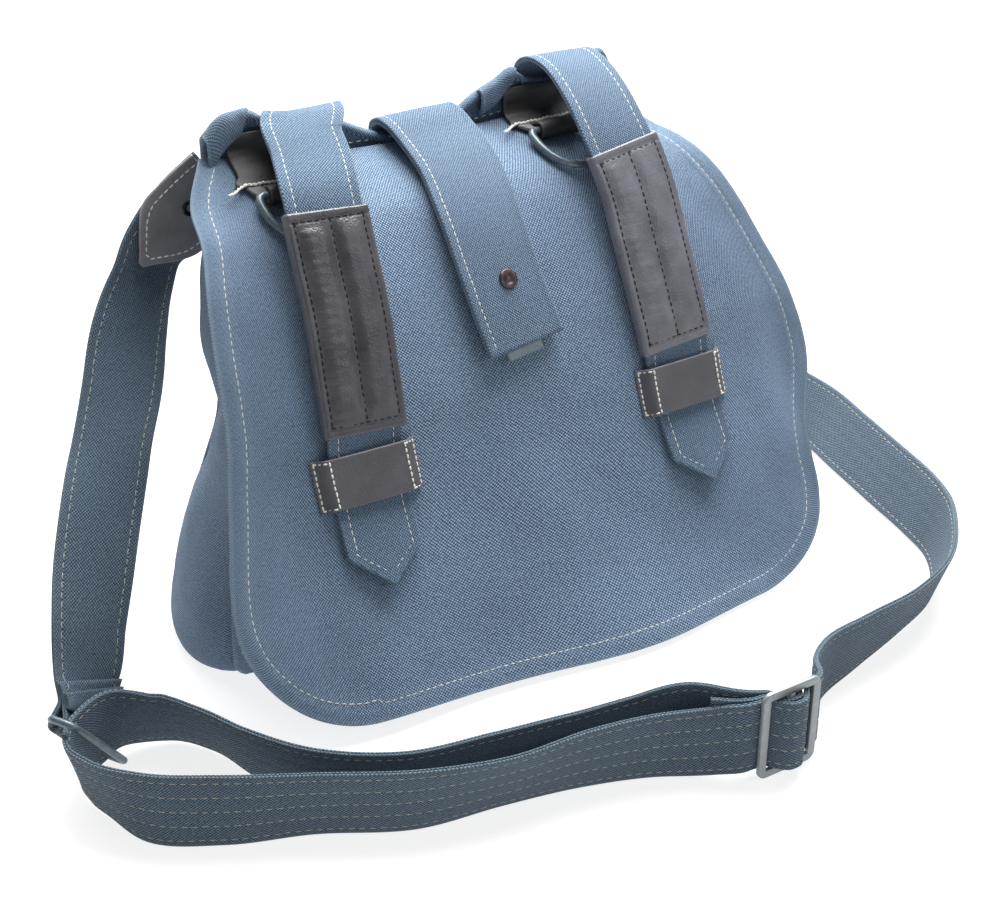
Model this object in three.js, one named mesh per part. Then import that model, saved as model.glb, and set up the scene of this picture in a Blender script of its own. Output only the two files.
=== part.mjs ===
// Canvas bread bag with a long shoulder strap.
// Millimetres. X runs across the bag, the front faces -Y, Z is up.
// The origin is the middle of the flat bottom, which stands on Z = 0.

import * as THREE from 'three';

// Wall thicknesses
const CANVAS = 2.0;
const LOOP_CANVAS = 3.0;
const TAB_CANVAS = 4.0;
const RIM_CANVAS = 5.0;
const LEATHER = 1.8;
const STRAP_CANVAS = 2.2;
const GAP = 0.4;

// Pouch
const CORNER_RADIUS = 11;
const CORNER_RISE = 12;
const POUCH_TOP = 203;
const BACK_TOP = 229.5;

// Rim of the back panel
const RIM_FOOT = 230;
const RIM_Y = 47.4;

// Flap
const FLAP_CORNER = 58;
const FLAP_SLANT = 7;

// Belt loops, sleeves, keepers and centre tab
const LOOP_WIDTH = 40;
const SLEEVE_WIDTH = 44;
const SLEEVE_DEPTH = 8;
const SLEEVE_WALL = 1.7;
const KEEPER_WIDTH = 56;
const KEEPER_FROM = 161;
const KEEPER_TO = 187;
const TIP_LENGTH = 17;
const TAB_WIDTH = 46;

// D-rings
const D_WIRE = 2.2;
const D_HALF = 17.8;
const D_DEPTH = 28;
const D_BAR_DOWN = 30.5;
const D_BAR_RISE = 6.4;
// The right ring hangs on a shorter tab, so it sits this much higher
const D_RIGHT_UP = 7.5;
const D_X = 80;
const D_SHIFT = -11;

// Shoulder strap and its hardware
const STRAP_WIDTH = 39;
// The right end is sewn on this much lower, behind the flap
const RIGHT_END_DROP = 28;
const RING_WIRE = 1.8;
const RING_HALF_LENGTH = 27.2;
const RING_HALF_GAP = 7.2;
const SLIDER_HEIGHT = 49;
const SLIDER_WIDTH = 34;
const SLIDER_PLATE = 2.6;

// Pouch by height: half width at the seams, the front and the back seam,
// how far the side bulges and how far the front bulges
const POUCH_ROWS = [
  { z: 0, half: 160, rear: 151, front: -41, back: 41, side: 9, belly: 2 },
  { z: 22, half: 161, rear: 150, front: -44, back: 43, side: 14, belly: 17 },
  { z: 50, half: 160, rear: 146, front: -45, back: 44, side: 16, belly: 25 },
  { z: 80, half: 157, rear: 133, front: -44, back: 45, side: 16, belly: 23 },
  { z: 105, half: 151, rear: 123, front: -40, back: 46, side: 9, belly: 19 },
  { z: 125, half: 147, rear: 121, front: -36, back: 46, side: 6, belly: 15 },
  { z: 150, half: 144, rear: 121, front: -29, back: 46, side: 9, belly: 11 },
  { z: 178, half: 140, rear: 122, front: -17, back: 46, side: 9, belly: 9 },
  { z: 203, half: 134, rear: 122, front: -5, back: 46, side: 6, belly: 7 },
  { z: 230, half: 122, rear: 121, front: 12, back: 46, side: 0, belly: 0 },
];

// Flap from the seam down: the centre line, half width, sideways shift,
// how far the left and the right edge bend back, and how far they hang lower
const FLAP_ROWS = [
  { y: 42.4, z: 233, half: 120, shift: -5, left: 0, right: 0, dropL: -12, dropR: -7 },
  { y: 20, z: 228, half: 132, shift: -7, left: 3, right: 0, dropL: -3, dropR: 1 },
  { y: -4, z: 218, half: 142, shift: -2, left: 5, right: 1, dropL: 1, dropR: 2 },
  { y: -23, z: 198, half: 153, shift: 2, left: 6, right: 3, dropL: 1, dropR: 1 },
  { y: -38, z: 172, half: 162, shift: 6, left: 6, right: 5, dropL: 0, dropR: 0 },
  { y: -53, z: 140, half: 171, shift: 12, left: 6, right: 6, dropL: 0, dropR: 0 },
  { y: -66, z: 106, half: 175, shift: 8, left: 5, right: 6, dropL: 0, dropR: 0 },
  { y: -86, z: 66, half: 176, shift: -2, left: 3, right: 2, dropL: 0, dropR: 0 },
  { y: -109, z: 28, half: 176, shift: -2, left: 4, right: 6, dropL: 0, dropR: 0 },
  { y: -123, z: 2.5, half: 176, shift: -2, left: 6, right: 8, dropL: 0, dropR: 0 },
];

// Rim from left to right: height of its top edge and how far the top leans forward
const RIM_ROWS = [
  { x: -121, top: 256, lean: 0 },
  { x: -114, top: 265, lean: 3 },
  { x: -104, top: 266, lean: 4 },
  { x: -92, top: 256, lean: 2 },
  { x: -80, top: 251, lean: 1 },
  { x: -46, top: 248, lean: 0 },
  { x: -36, top: 243, lean: 0 },
  { x: -28, top: 239.5, lean: 0 },
  { x: 24, top: 239.5, lean: 0 },
  { x: 34, top: 248, lean: 0 },
  { x: 46, top: 255, lean: 1 },
  { x: 55, top: 260, lean: 3 },
  { x: 66, top: 254, lean: 1 },
  { x: 95, top: 253, lean: 1 },
  { x: 106, top: 259, lean: 2 },
  { x: 114, top: 262, lean: 2 },
  { x: 121, top: 252, lean: 0 },
];

// Belt loop over the rim, x measured outwards from the middle of the bag
const LOOP_TOP_ROWS = [
  { x: 76, y: 49.2, z: 204, lean: 5 },
  { x: 76, y: 50.6, z: 218, lean: 5 },
  { x: 76, y: 52.6, z: 232, lean: 5 },
  { x: 76, y: 53.2, z: 251.5, lean: 6 },
  { x: 76, y: 48.5, z: 261, lean: 7 },
  { x: 77, y: 39, z: 264.5, lean: 6 },
  { x: 80, y: 26, z: 263, lean: 3 },
  { x: 82, y: 8, z: 255, lean: 1 },
  { x: 85, y: -10, z: 240, lean: -1 },
];

// Belt loop down the flap: distance from the seam and height above the flap
const LOOP_LOW_ROWS = [
  { x: 88, down: 69, rise: 13 },
  { x: 89, down: 95, rise: 9.5 },
  { x: 91, down: 124, rise: 7.5 },
  { x: 93, down: 152, rise: 6 },
  { x: 94, down: 163, rise: 3.7 },
  { x: 95.5, down: 186, rise: 3.6 },
  { x: 96.5, down: 206, rise: 4.5 },
  { x: 97.5, down: 229, rise: 7 },
];

// Centre tab over the rim and down the flap
const TAB_TOP_ROWS = [
  { x: -2, y: 51.6, z: 214 },
  { x: -2, y: 54.2, z: 234 },
  { x: -2, y: 53.4, z: 241.5 },
  { x: -1.5, y: 48, z: 245 },
  { x: -1, y: 40, z: 245 },
  { x: 0, y: 27, z: 240 },
];
const TAB_LOW_ROWS = [
  { x: 0, down: 36, rise: 7 },
  { x: -2, down: 62, rise: 5.2 },
  { x: -1, down: 98, rise: 6 },
  { x: 3, down: 132, rise: 8 },
];

// Leather tab of a D-ring: distance from the seam, height above the flap, half width
const D_TAB_ROWS = [
  { down: 5, rise: 2.9, half: 20 },
  { down: 12, rise: 2.9, half: 20 },
  { down: 20, rise: 2.9, half: 20 },
  { down: 22, rise: 3.6, half: 12.5 },
  { down: 26, rise: 7.6, half: 12.5 },
  { down: 30.5, rise: 10.3, half: 12.5 },
  { down: 33.3, rise: 9.2, half: 12.5 },
  { down: 34.4, rise: 6.4, half: 12.5 },
  { down: 33.3, rise: 3.6, half: 12.5 },
  { down: 30.5, rise: 2.5, half: 12.5 },
  { down: 26, rise: 2.5, half: 12.5 },
];

// Leather patch on the strap's left end, its point down the strap: centre line, direction across, half width
const END_ROWS = [
  { x: -113, y: 51.2, z: 228, sx: 0.7, sy: 0, sz: -0.71, half: 21 },
  { x: -128, y: 52.4, z: 217.5, sx: 0.7, sy: 0, sz: -0.71, half: 21 },
  { x: -138, y: 52.7, z: 208.6, sx: 0.7, sy: 0, sz: -0.71, half: 21 },
  { x: -156.5, y: 51.8, z: 193, sx: 0.7, sy: 0, sz: -0.71, half: 1.5 },
];

// Upper end of the strap behind the left patch, mirrored for the right one
const TOP_ROWS = [
  { x: -111.4, y: 53.8, z: 229.6, sx: 0.7, sy: 0, sz: -0.71 },
  { x: -128, y: 55.2, z: 217.5, sx: 0.7, sy: 0, sz: -0.71 },
  { x: -138.5, y: 55.8, z: 207.4, sx: 0.72, sy: 0, sz: -0.69 },
  { x: -146, y: 56, z: 197.5, sx: 0.8, sy: 0, sz: -0.55 },
];

// Short part of the strap, from below the patch to its fold round the ring
const SHORT_ROWS = [
  { x: -153, y: 53, z: 184, sx: 0.88, sy: -0.15, sz: -0.42 },
  { x: -167.5, y: 40, z: 165, sx: 0.88, sy: -0.4, sz: -0.2 },
  { x: -184, y: 20, z: 144, sx: 0.86, sy: -0.5, sz: -0.1 },
  { x: -198, y: 3, z: 127, sx: 0.85, sy: -0.52, sz: 0 },
  { x: -210.5, y: -15, z: 108, sx: 0.85, sy: -0.52, sz: 0 },
  { x: -225, y: -35, z: 84, sx: 0.85, sy: -0.45, sz: -0.1 },
  { x: -236, y: -49, z: 64, sx: 0.8, sy: -0.25, sz: -0.4 },
  { x: -243, y: -58, z: 46, sx: 0.66, sy: 0, sz: -0.7 },
];

// Long part of the strap, from behind the right side of the bag, along the floor,
// through the slider and to the turn at the ring
const LONG_ROWS = [
  { x: 158, y: 62, z: 147, sx: 0.85, sy: 0.05, sz: 0.55 },
  { x: 182, y: 72, z: 106, sx: 0.8, sy: 0.1, sz: 0.6 },
  { x: 212, y: 76, z: 61, sx: 0.65, sy: 0.1, sz: 0.75 },
  { x: 240, y: 62, z: 32, sx: 0.58, sy: 0.1, sz: 0.8 },
  { x: 254, y: 34, z: 18.5, sx: 0.55, sy: 0, sz: 0.83 },
  { x: 256, y: 4, z: 17, sx: 0.55, sy: 0, sz: 0.83 },
  { x: 248.5, y: -38, z: 16.7, sx: 0.54, sy: 0, sz: 0.84 },
  { x: 240, y: -80, z: 17, sx: 0.5, sy: 0, sz: 0.86 },
  { x: 232, y: -116, z: 17.6, sx: 0.42, sy: 0, sz: 0.9 },
  { x: 222.5, y: -142, z: 19, sx: 0.25, sy: -0.1, sz: 0.96 },
  { x: 207, y: -163, z: 19.5, sx: 0.12, sy: -0.2, sz: 0.97 },
  { x: 188, y: -180, z: 19.5, sx: 0.05, sy: -0.22, sz: 0.97 },
  { x: 150, y: -196, z: 19.5, sx: 0, sy: -0.25, sz: 0.97 },
  { x: 110, y: -206, z: 19.8, sx: 0, sy: -0.2, sz: 0.98 },
  { x: 74, y: -217, z: 21, sx: 0, sy: -0.1, sz: 0.99 },
  { x: 57, y: -233.5, z: 23, sx: 0, sy: 0, sz: 1 },
];

// The strap woven through the slider, measured from the slider's middle bar
const WEAVE_ROWS = [
  { x: 19, y: 3.6 },
  { x: 14.8, y: 2.9 },
  { x: 12, y: 2.7 },
  { x: 10, y: 1.2 },
  { x: 7, y: -2.8 },
  { x: 3.2, y: -6.3 },
  { x: 0, y: -6.7 },
  { x: -3.2, y: -6.3 },
  { x: -7, y: -2.8 },
  { x: -10, y: 1.2 },
  { x: -12, y: 2.7 },
  { x: -14.8, y: 2.9 },
  { x: -20, y: 3.6 },
];

// The front run, the turn round the ring and the back run
const RUN_ROWS = [
  { x: -4, y: -232, z: 21.5, sx: 0, sy: 0, sz: 1 },
  { x: -30, y: -218, z: 20, sx: 0, sy: -0.1, sz: 0.99 },
  { x: -60, y: -209, z: 19.5, sx: 0, sy: -0.2, sz: 0.98 },
  { x: -100, y: -203, z: 19, sx: 0, sy: -0.33, sz: 0.94 },
  { x: -140, y: -194, z: 19.5, sx: 0, sy: -0.2, sz: 0.98 },
  { x: -185, y: -174, z: 19.2, sx: 0, sy: -0.28, sz: 0.96 },
  { x: -222, y: -156, z: 19.5, sx: 0, sy: -0.1, sz: 0.99 },
  { x: -250, y: -136, z: 19.5, sx: -0.05, sy: 0, sz: 1 },
  { x: -263, y: -113, z: 19.8, sx: -0.28, sy: 0, sz: 0.96 },
  { x: -267.5, y: -98, z: 20.5, sx: -0.25, sy: 0.02, sz: 0.97 },
  { x: -265, y: -87, z: 22, sx: -0.1, sy: 0, sz: 0.99 },
  { x: -254, y: -79.6, z: 24, sx: 0, sy: 0, sz: 1 },
  { x: -241, y: -73.8, z: 24.2, sx: 0, sy: -0.08, sz: 1 },
  { x: -233, y: -72.9, z: 22.8, sx: 0, sy: -0.26, sz: 0.97 },
  { x: -224, y: -74, z: 20, sx: 0, sy: -0.42, sz: 0.9 },
  { x: -213, y: -78.5, z: 18.6, sx: -0.25, sy: -0.42, sz: 0.87 },
  { x: -202, y: -94, z: 19.5, sx: -0.28, sy: -0.2, sz: 0.93 },
  { x: -191, y: -122, z: 19.3, sx: -0.2, sy: -0.15, sz: 0.96 },
  { x: -173, y: -153, z: 19.3, sx: -0.1, sy: -0.1, sz: 0.98 },
  { x: -142, y: -178, z: 19.5, sx: 0, sy: -0.1, sz: 0.99 },
  { x: -100, y: -188, z: 19.5, sx: 0, sy: -0.1, sz: 0.99 },
  { x: -60, y: -193, z: 19.5, sx: 0, sy: -0.1, sz: 0.99 },
  { x: -30, y: -202, z: 20, sx: 0, sy: 0, sz: 1 },
  { x: -8, y: -216, z: 22.5, sx: 0, sy: 0, sz: 1 },
];

// The sewn end of the strap round the slider's middle bar
const WRAP_ROWS = [
  { x: -20, y: 11.4 },
  { x: -15.5, y: 9.5 },
  { x: -9.5, y: 7.6 },
  { x: -5, y: 4.4 },
  { x: 0, y: 3.1 },
  { x: 3.7, y: 2.6 },
  { x: 5.1, y: 0 },
  { x: 3.6, y: -2.5 },
  { x: 0, y: -3.1 },
  { x: -3.6, y: -2.5 },
  { x: -6.4, y: 0.7 },
  { x: -9.5, y: 4.6 },
  { x: -12.5, y: 5.8 },
  { x: -15.5, y: 6.1 },
  { x: -22, y: 8.4 },
  { x: -34, y: 17 },
];

const SLIDER_AT = new THREE.Vector3(29, -245, 24.8);
const RING_AT = new THREE.Vector3(-253.5, -80.2, 24);
const RING_ALONG = new THREE.Vector3(0.52, 0.3, -0.8).normalize();
const RING_ACROSS = new THREE.Vector3(0.5, -0.86, 0);
RING_ACROSS.addScaledVector(RING_ALONG, -RING_ACROSS.dot(RING_ALONG)).normalize();
const RING_OUT = new THREE.Vector3().crossVectors(RING_ALONG, RING_ACROSS);

const BLUE_CANVAS = 0x5b718d;
const DARK_LEATHER = 0x2c2a2b;
const GREY_LEATHER = 0x3a3a3c;
const PAINTED_STEEL = 0x7d8b95;
const DULL_COPPER = 0x5a5052;

// Smooth curve through the rows of a table, carrying every column along
function slope(from, to, next, before, after) {
  return ((to - from) / before * after + (next - to) / after * before) / (before + after);
}

function between(rows, i, t) {
  const a = rows[i - 1];
  const b = rows[i];
  const c = rows[i + 1];
  const d = rows[i + 2];
  const span = place(b).distanceTo(place(c));
  const before = a ? place(a).distanceTo(place(b)) : span;
  const after = d ? place(c).distanceTo(place(d)) : span;
  const row = {};
  for (const name of Object.keys(b)) {
    const chord = c[name] - b[name];
    const start = a ? span * slope(a[name], b[name], c[name], before, span) : chord;
    const end = d ? span * slope(b[name], c[name], d[name], span, after) : chord;
    const bend = 3 * chord - 2 * start - end;
    const twist = start + end - 2 * chord;
    row[name] = b[name] + start * t + bend * t * t + twist * t * t * t;
  }
  return row;
}

function lookup(rows, column, value) {
  let i = 0;
  while (i < rows.length - 2 && rows[i + 1][column] < value) {
    i += 1;
  }
  const t = (value - rows[i][column]) / (rows[i + 1][column] - rows[i][column]);
  return between(rows, i, Math.min(Math.max(t, 0), 1));
}

function bySteps(rows, reach, turn) {
  const list = [];
  for (let i = 0; i < rows.length - 1; i += 1) {
    const ends = [0, 0.25, 0.5, 0.75, 1].map((t) => place(between(rows, i, t)));
    let length = 0;
    let angle = 0;
    for (let k = 0; k < 4; k += 1) {
      length += ends[k].distanceTo(ends[k + 1]);
      if (k > 0) {
        const one = ends[k].clone().sub(ends[k - 1]);
        const two = ends[k + 1].clone().sub(ends[k]);
        angle += one.angleTo(two);
      }
    }
    const count = Math.max(1, Math.ceil(Math.max(length / reach, angle / turn)));
    for (let k = 0; k < count; k += 1) {
      list.push(between(rows, i, k / count));
    }
  }
  list.push({ ...rows[rows.length - 1] });
  return list;
}

function place(row) {
  return new THREE.Vector3(row.x ?? 0, row.y ?? 0, row.z ?? 0);
}

// Closed body from shared corners and four-sided or three-sided faces
function body(corners, faces) {
  const index = [];
  for (const f of faces) {
    index.push(f[0], f[1], f[2]);
    if (f.length === 4) {
      index.push(f[0], f[2], f[3]);
    }
  }
  let volume = 0;
  for (let i = 0; i < index.length; i += 3) {
    const a = corners[index[i]];
    const b = corners[index[i + 1]];
    const c = corners[index[i + 2]];
    volume += a.dot(b.clone().cross(c));
  }
  if (volume < 0) {
    for (let i = 0; i < index.length; i += 3) {
      const keep = index[i + 1];
      index[i + 1] = index[i + 2];
      index[i + 2] = keep;
    }
  }
  const geometry = new THREE.BufferGeometry().setFromPoints(corners);
  geometry.setIndex(index);
  geometry.computeVertexNormals();
  return geometry;
}

// Sheet of even thickness over a grid of points
function sheet(grid, thick) {
  const rows = grid.length;
  const cols = grid[0].length;
  const corners = [];
  for (const side of [1, -1]) {
    for (let i = 0; i < rows; i += 1) {
      for (let j = 0; j < cols; j += 1) {
        const down = grid[Math.min(i + 1, rows - 1)][j].clone().sub(grid[Math.max(i - 1, 0)][j]);
        const over = grid[i][Math.min(j + 1, cols - 1)].clone().sub(grid[i][Math.max(j - 1, 0)]);
        const normal = over.cross(down).normalize();
        corners.push(grid[i][j].clone().addScaledVector(normal, side * thick / 2));
      }
    }
  }
  const at = (side, i, j) => side * rows * cols + i * cols + j;
  const faces = [];
  for (let i = 0; i < rows - 1; i += 1) {
    for (let j = 0; j < cols - 1; j += 1) {
      faces.push([at(0, i, j), at(0, i + 1, j), at(0, i + 1, j + 1), at(0, i, j + 1)]);
      faces.push([at(1, i, j), at(1, i, j + 1), at(1, i + 1, j + 1), at(1, i + 1, j)]);
    }
  }
  for (let i = 0; i < rows - 1; i += 1) {
    const last = cols - 1;
    faces.push([at(0, i, 0), at(1, i, 0), at(1, i + 1, 0), at(0, i + 1, 0)]);
    faces.push([at(0, i, last), at(0, i + 1, last), at(1, i + 1, last), at(1, i, last)]);
  }
  for (let j = 0; j < cols - 1; j += 1) {
    const last = rows - 1;
    faces.push([at(0, 0, j), at(0, 0, j + 1), at(1, 0, j + 1), at(1, 0, j)]);
    faces.push([at(0, last, j), at(1, last, j), at(1, last, j + 1), at(0, last, j + 1)]);
  }
  return body(corners, faces);
}

// Frames along a strap: the point, the direction across it and the face direction
function frames(stations) {
  return stations.map((row, i) => {
    const next = place(stations[Math.min(i + 1, stations.length - 1)]);
    const back = place(stations[Math.max(i - 1, 0)]);
    const along = next.sub(back).normalize();
    const side = new THREE.Vector3(row.sx, row.sy, row.sz);
    side.addScaledVector(along, -side.dot(along)).normalize();
    const face = new THREE.Vector3().crossVectors(along, side);
    return { at: place(row), along, side, face, half: row.half };
  });
}

// Raise the frames that would reach below the floor
function onFloor(list, width, thick) {
  for (const f of list) {
    const reach = width / 2 * Math.abs(f.side.z) + thick / 2 * Math.abs(f.face.z);
    f.at.z = Math.max(f.at.z, reach + 0.02);
  }
  return list;
}

// Flat strap along a list of frames
function strap(list, width, thick) {
  const corners = [];
  const faces = [];
  list.forEach((f, i) => {
    const half = f.half ?? width / 2;
    for (const [s, t] of [[-1, -1], [1, -1], [1, 1], [-1, 1]]) {
      const corner = f.at.clone().addScaledVector(f.side, s * half);
      corners.push(corner.addScaledVector(f.face, t * thick / 2));
    }
    if (i > 0) {
      for (let k = 0; k < 4; k += 1) {
        const n = (k + 1) % 4;
        faces.push([4 * i - 4 + k, 4 * i - 4 + n, 4 * i + n, 4 * i + k]);
      }
    }
  });
  const last = 4 * (list.length - 1);
  faces.push([0, 3, 2, 1], [last, last + 1, last + 2, last + 3]);
  return body(corners, faces);
}

// Sleeve with an open box section along a list of frames
function sleeve(list, width, depth, wall) {
  const corners = [];
  const faces = [];
  list.forEach((f, i) => {
    for (const inset of [0, wall]) {
      for (const [s, t] of [[-1, -1], [1, -1], [1, 1], [-1, 1]]) {
        const corner = f.at.clone().addScaledVector(f.side, s * (width / 2 - inset));
        corners.push(corner.addScaledVector(f.face, t * (depth / 2 - inset)));
      }
    }
    if (i > 0) {
      const a = 8 * (i - 1);
      const b = 8 * i;
      for (let k = 0; k < 4; k += 1) {
        const n = (k + 1) % 4;
        faces.push([a + k, a + n, b + n, b + k]);
        faces.push([a + 4 + n, a + 4 + k, b + 4 + k, b + 4 + n]);
      }
    }
  });
  const end = 8 * (list.length - 1);
  for (let k = 0; k < 4; k += 1) {
    const n = (k + 1) % 4;
    faces.push([k, 4 + k, 4 + n, n]);
    faces.push([end + k, end + n, end + 4 + n, end + 4 + k]);
  }
  return body(corners, faces);
}

// Round wire bent to a closed flat loop, given by points in a plane
function wireLoop(points, origin, along, across, radius, sides) {
  const up = new THREE.Vector3().crossVectors(along, across).normalize();
  const count = points.length;
  const corners = [];
  const faces = [];
  points.forEach((p, i) => {
    const a = points[(i + count - 1) % count];
    const b = points[(i + 1) % count];
    const out = new THREE.Vector2(b.y - a.y, a.x - b.x).normalize();
    const middle = origin.clone().addScaledVector(along, p.x).addScaledVector(across, p.y);
    const lateral = along.clone().multiplyScalar(out.x).addScaledVector(across, out.y);
    for (let k = 0; k < sides; k += 1) {
      const turn = 2 * Math.PI * k / sides;
      const corner = middle.clone().addScaledVector(lateral, radius * Math.cos(turn));
      corners.push(corner.addScaledVector(up, radius * Math.sin(turn)));
    }
    const n = (i + 1) % count;
    for (let k = 0; k < sides; k += 1) {
      const m = (k + 1) % sides;
      faces.push([i * sides + k, i * sides + m, n * sides + m, n * sides + k]);
    }
  });
  return body(corners, faces);
}

// Pouch
function pouchOutline(column, extra) {
  const list = [];
  const foot = lookup(POUCH_ROWS, 'z', CORNER_RISE)[column];
  for (let k = 0; k <= 4; k += 1) {
    const turn = Math.PI / 2 * k / 4;
    const radius = CORNER_RADIUS + extra;
    const z = CORNER_RISE - radius * Math.cos(turn);
    list.push({ half: foot - CORNER_RADIUS + radius * Math.sin(turn), z });
  }
  for (const z of [24, 37, 50, 65, 80, 92, 105, 115, 125, 137, 150, 164, 178, 190, POUCH_TOP]) {
    list.push({ half: lookup(POUCH_ROWS, 'z', z)[column] + extra, z });
  }
  return list;
}

function panel(outline, depthOf, columns) {
  return outline.map(({ half, z }) => {
    const row = lookup(POUCH_ROWS, 'z', z);
    const line = [];
    for (let j = 0; j <= columns; j += 1) {
      const u = 2 * j / columns - 1;
      line.push(new THREE.Vector3(u * half, depthOf(row, u), z));
    }
    return line;
  });
}

function frontPanel() {
  const outline = pouchOutline('half', 1);
  outline.shift();
  return sheet(panel(outline, (row, u) => row.front - row.belly * (1 - Math.abs(u) ** 2.4), 14), CANVAS);
}

function backPanel() {
  const outline = pouchOutline('rear', 1);
  outline.shift();
  outline.push({ half: lookup(POUCH_ROWS, 'z', 217).rear + 1, z: 217 });
  outline.push({ half: lookup(POUCH_ROWS, 'z', BACK_TOP).rear + 1, z: BACK_TOP });
  return sheet(panel(outline, (row, u) => row.back, 4), CANVAS);
}

function gusset() {
  const side = pouchOutline('half', 0);
  const rear = pouchOutline('rear', 0);
  const path = [];
  for (let i = side.length - 1; i >= 0; i -= 1) {
    path.push({ x: -side[i].half, rear: -rear[i].half, z: side[i].z });
  }
  for (const share of [-0.6, -0.3, 0, 0.3, 0.6]) {
    path.push({ x: share * side[0].half, rear: share * rear[0].half, z: 1 });
  }
  side.forEach((row, i) => {
    path.push({ x: row.half, rear: rear[i].half, z: row.z });
  });
  const grid = path.map((p, i) => {
    const row = lookup(POUCH_ROWS, 'z', p.z);
    const next = path[Math.min(i + 1, path.length - 1)];
    const back = path[Math.max(i - 1, 0)];
    const out = new THREE.Vector2(next.z - back.z, back.x - next.x).normalize();
    const bulge = p.z < 2 ? 0 : row.side * Math.min(1, (p.z - 1) / 9);
    const line = [];
    for (let j = 0; j <= 6; j += 1) {
      const w = j / 6;
      const y = THREE.MathUtils.lerp(row.front + 2.3, row.back - 2.3, w);
      const swell = bulge * 4 * w * (1 - w);
      const x = THREE.MathUtils.lerp(p.x, p.rear, w);
      line.push(new THREE.Vector3(x + out.x * swell, y, p.z + out.y * swell));
    }
    return line;
  });
  return sheet(grid, CANVAS);
}

function rim() {
  const grid = [];
  for (const level of [0, 0.35, 0.7, 1]) {
    const line = [];
    for (let j = 0; j <= 36; j += 1) {
      const x = -121 + 242 * j / 36;
      const row = lookup(RIM_ROWS, 'x', x);
      const z = THREE.MathUtils.lerp(RIM_FOOT, row.top, level);
      line.push(new THREE.Vector3(x, RIM_Y - row.lean * level * level, z));
    }
    grid.push(line);
  }
  return sheet(grid, RIM_CANVAS);
}

// Flap
const flapLine = [];
for (let i = 0; i < FLAP_ROWS.length - 1; i += 1) {
  for (let k = 0; k < 12; k += 1) {
    flapLine.push(between(FLAP_ROWS, i, k / 12));
  }
}
flapLine.push({ ...FLAP_ROWS[FLAP_ROWS.length - 1] });
flapLine.forEach((row, i) => {
  row.down = i === 0 ? 0 : flapLine[i - 1].down + place(row).distanceTo(place(flapLine[i - 1]));
});
const FLAP_LENGTH = flapLine[flapLine.length - 1].down;

function flapRow(down) {
  let i = 0;
  while (i < flapLine.length - 2 && flapLine[i + 1].down < down) {
    i += 1;
  }
  const t = (down - flapLine[i].down) / (flapLine[i + 1].down - flapLine[i].down);
  const row = {};
  for (const name of Object.keys(flapLine[i])) {
    row[name] = flapLine[i][name] + (flapLine[i + 1][name] - flapLine[i][name]) * t;
  }
  return row;
}

function flapPoint(x, down) {
  const row = flapRow(down);
  const u = (x - row.shift) / row.half;
  const back = (u < 0 ? row.left : row.right) * Math.abs(u) ** 3;
  const fall = (u < 0 ? row.dropL : row.dropR) * u * u;
  return new THREE.Vector3(x, row.y + back, row.z - fall);
}

function flapFrame(x, down) {
  const over = flapPoint(x + 1, down).sub(flapPoint(x - 1, down));
  const fall = flapPoint(x, down + 1).sub(flapPoint(x, down - 1));
  return fall.cross(over).normalize();
}

function flapOver(x, down) {
  return flapPoint(x + 12, down).sub(flapPoint(x - 12, down)).normalize();
}

function above(x, down, rise) {
  return flapPoint(x, down).addScaledVector(flapFrame(x, down), rise);
}

function flap() {
  const grid = [];
  const straight = 1 - FLAP_CORNER / 178;
  for (let i = 0; i <= 22; i += 1) {
    const v = i / 22;
    const line = [];
    for (let j = 0; j <= 26; j += 1) {
      const u = Math.sin(Math.PI / 2 * (2 * j / 26 - 1) * 0.9) / Math.sin(Math.PI / 2 * 0.9);
      const edge = Math.max(0, (Math.abs(u) - straight) / (1 - straight));
      const lift = FLAP_CORNER * (1 - Math.sqrt(1 - Math.min(1, edge) ** 2));
      const slant = FLAP_SLANT * Math.max(0, -u);
      const down = v * FLAP_LENGTH - (lift + slant) * v ** 3;
      const row = flapRow(down);
      line.push(flapPoint(row.shift + u * row.half, down));
    }
    grid.push(line);
  }
  return sheet(grid, CANVAS);
}

// Belt loops with their sleeves and keepers
function loopFrames(hand) {
  const rows = LOOP_TOP_ROWS.map((r) => ({ x: hand * r.x + r.lean, y: r.y, z: r.z }));
  for (const r of LOOP_LOW_ROWS) {
    const p = above(hand * r.x, r.down, r.rise);
    rows.push({ x: p.x, y: p.y, z: p.z });
  }
  const list = bySteps(rows, 9, 0.3).map((r) => ({ ...r, sx: 1, sy: 0, sz: 0 }));
  return frames(list);
}

function beltLoop(list) {
  const tip = list[list.length - 1].at;
  let run = 0;
  for (let i = list.length - 1; i >= 0; i -= 1) {
    if (i < list.length - 1) {
      run += list[i].at.distanceTo(list[i + 1].at);
    }
    list[i].half = Math.max(1.5, Math.min(1, run / TIP_LENGTH) * LOOP_WIDTH / 2);
  }
  list[list.length - 1].at = tip;
  return strap(list, LOOP_WIDTH, LOOP_CANVAS);
}

function keeper(hand) {
  const grid = [];
  for (let i = 0; i <= 3; i += 1) {
    const down = THREE.MathUtils.lerp(KEEPER_FROM, KEEPER_TO, i / 3);
    const line = [];
    for (let j = 0; j <= 14; j += 1) {
      const w = 2 * j / 14 - 1;
      const inward = KEEPER_WIDTH / 2 * (1 - Math.abs(w));
      const lift = 5.4 * THREE.MathUtils.smoothstep(inward, 1.2, 5.6);
      const x = hand * 94.8 + w * KEEPER_WIDTH / 2;
      line.push(above(x, down, 1 + GAP + LEATHER / 2 + lift));
    }
    grid.push(line);
  }
  return sheet(grid, LEATHER);
}

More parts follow.
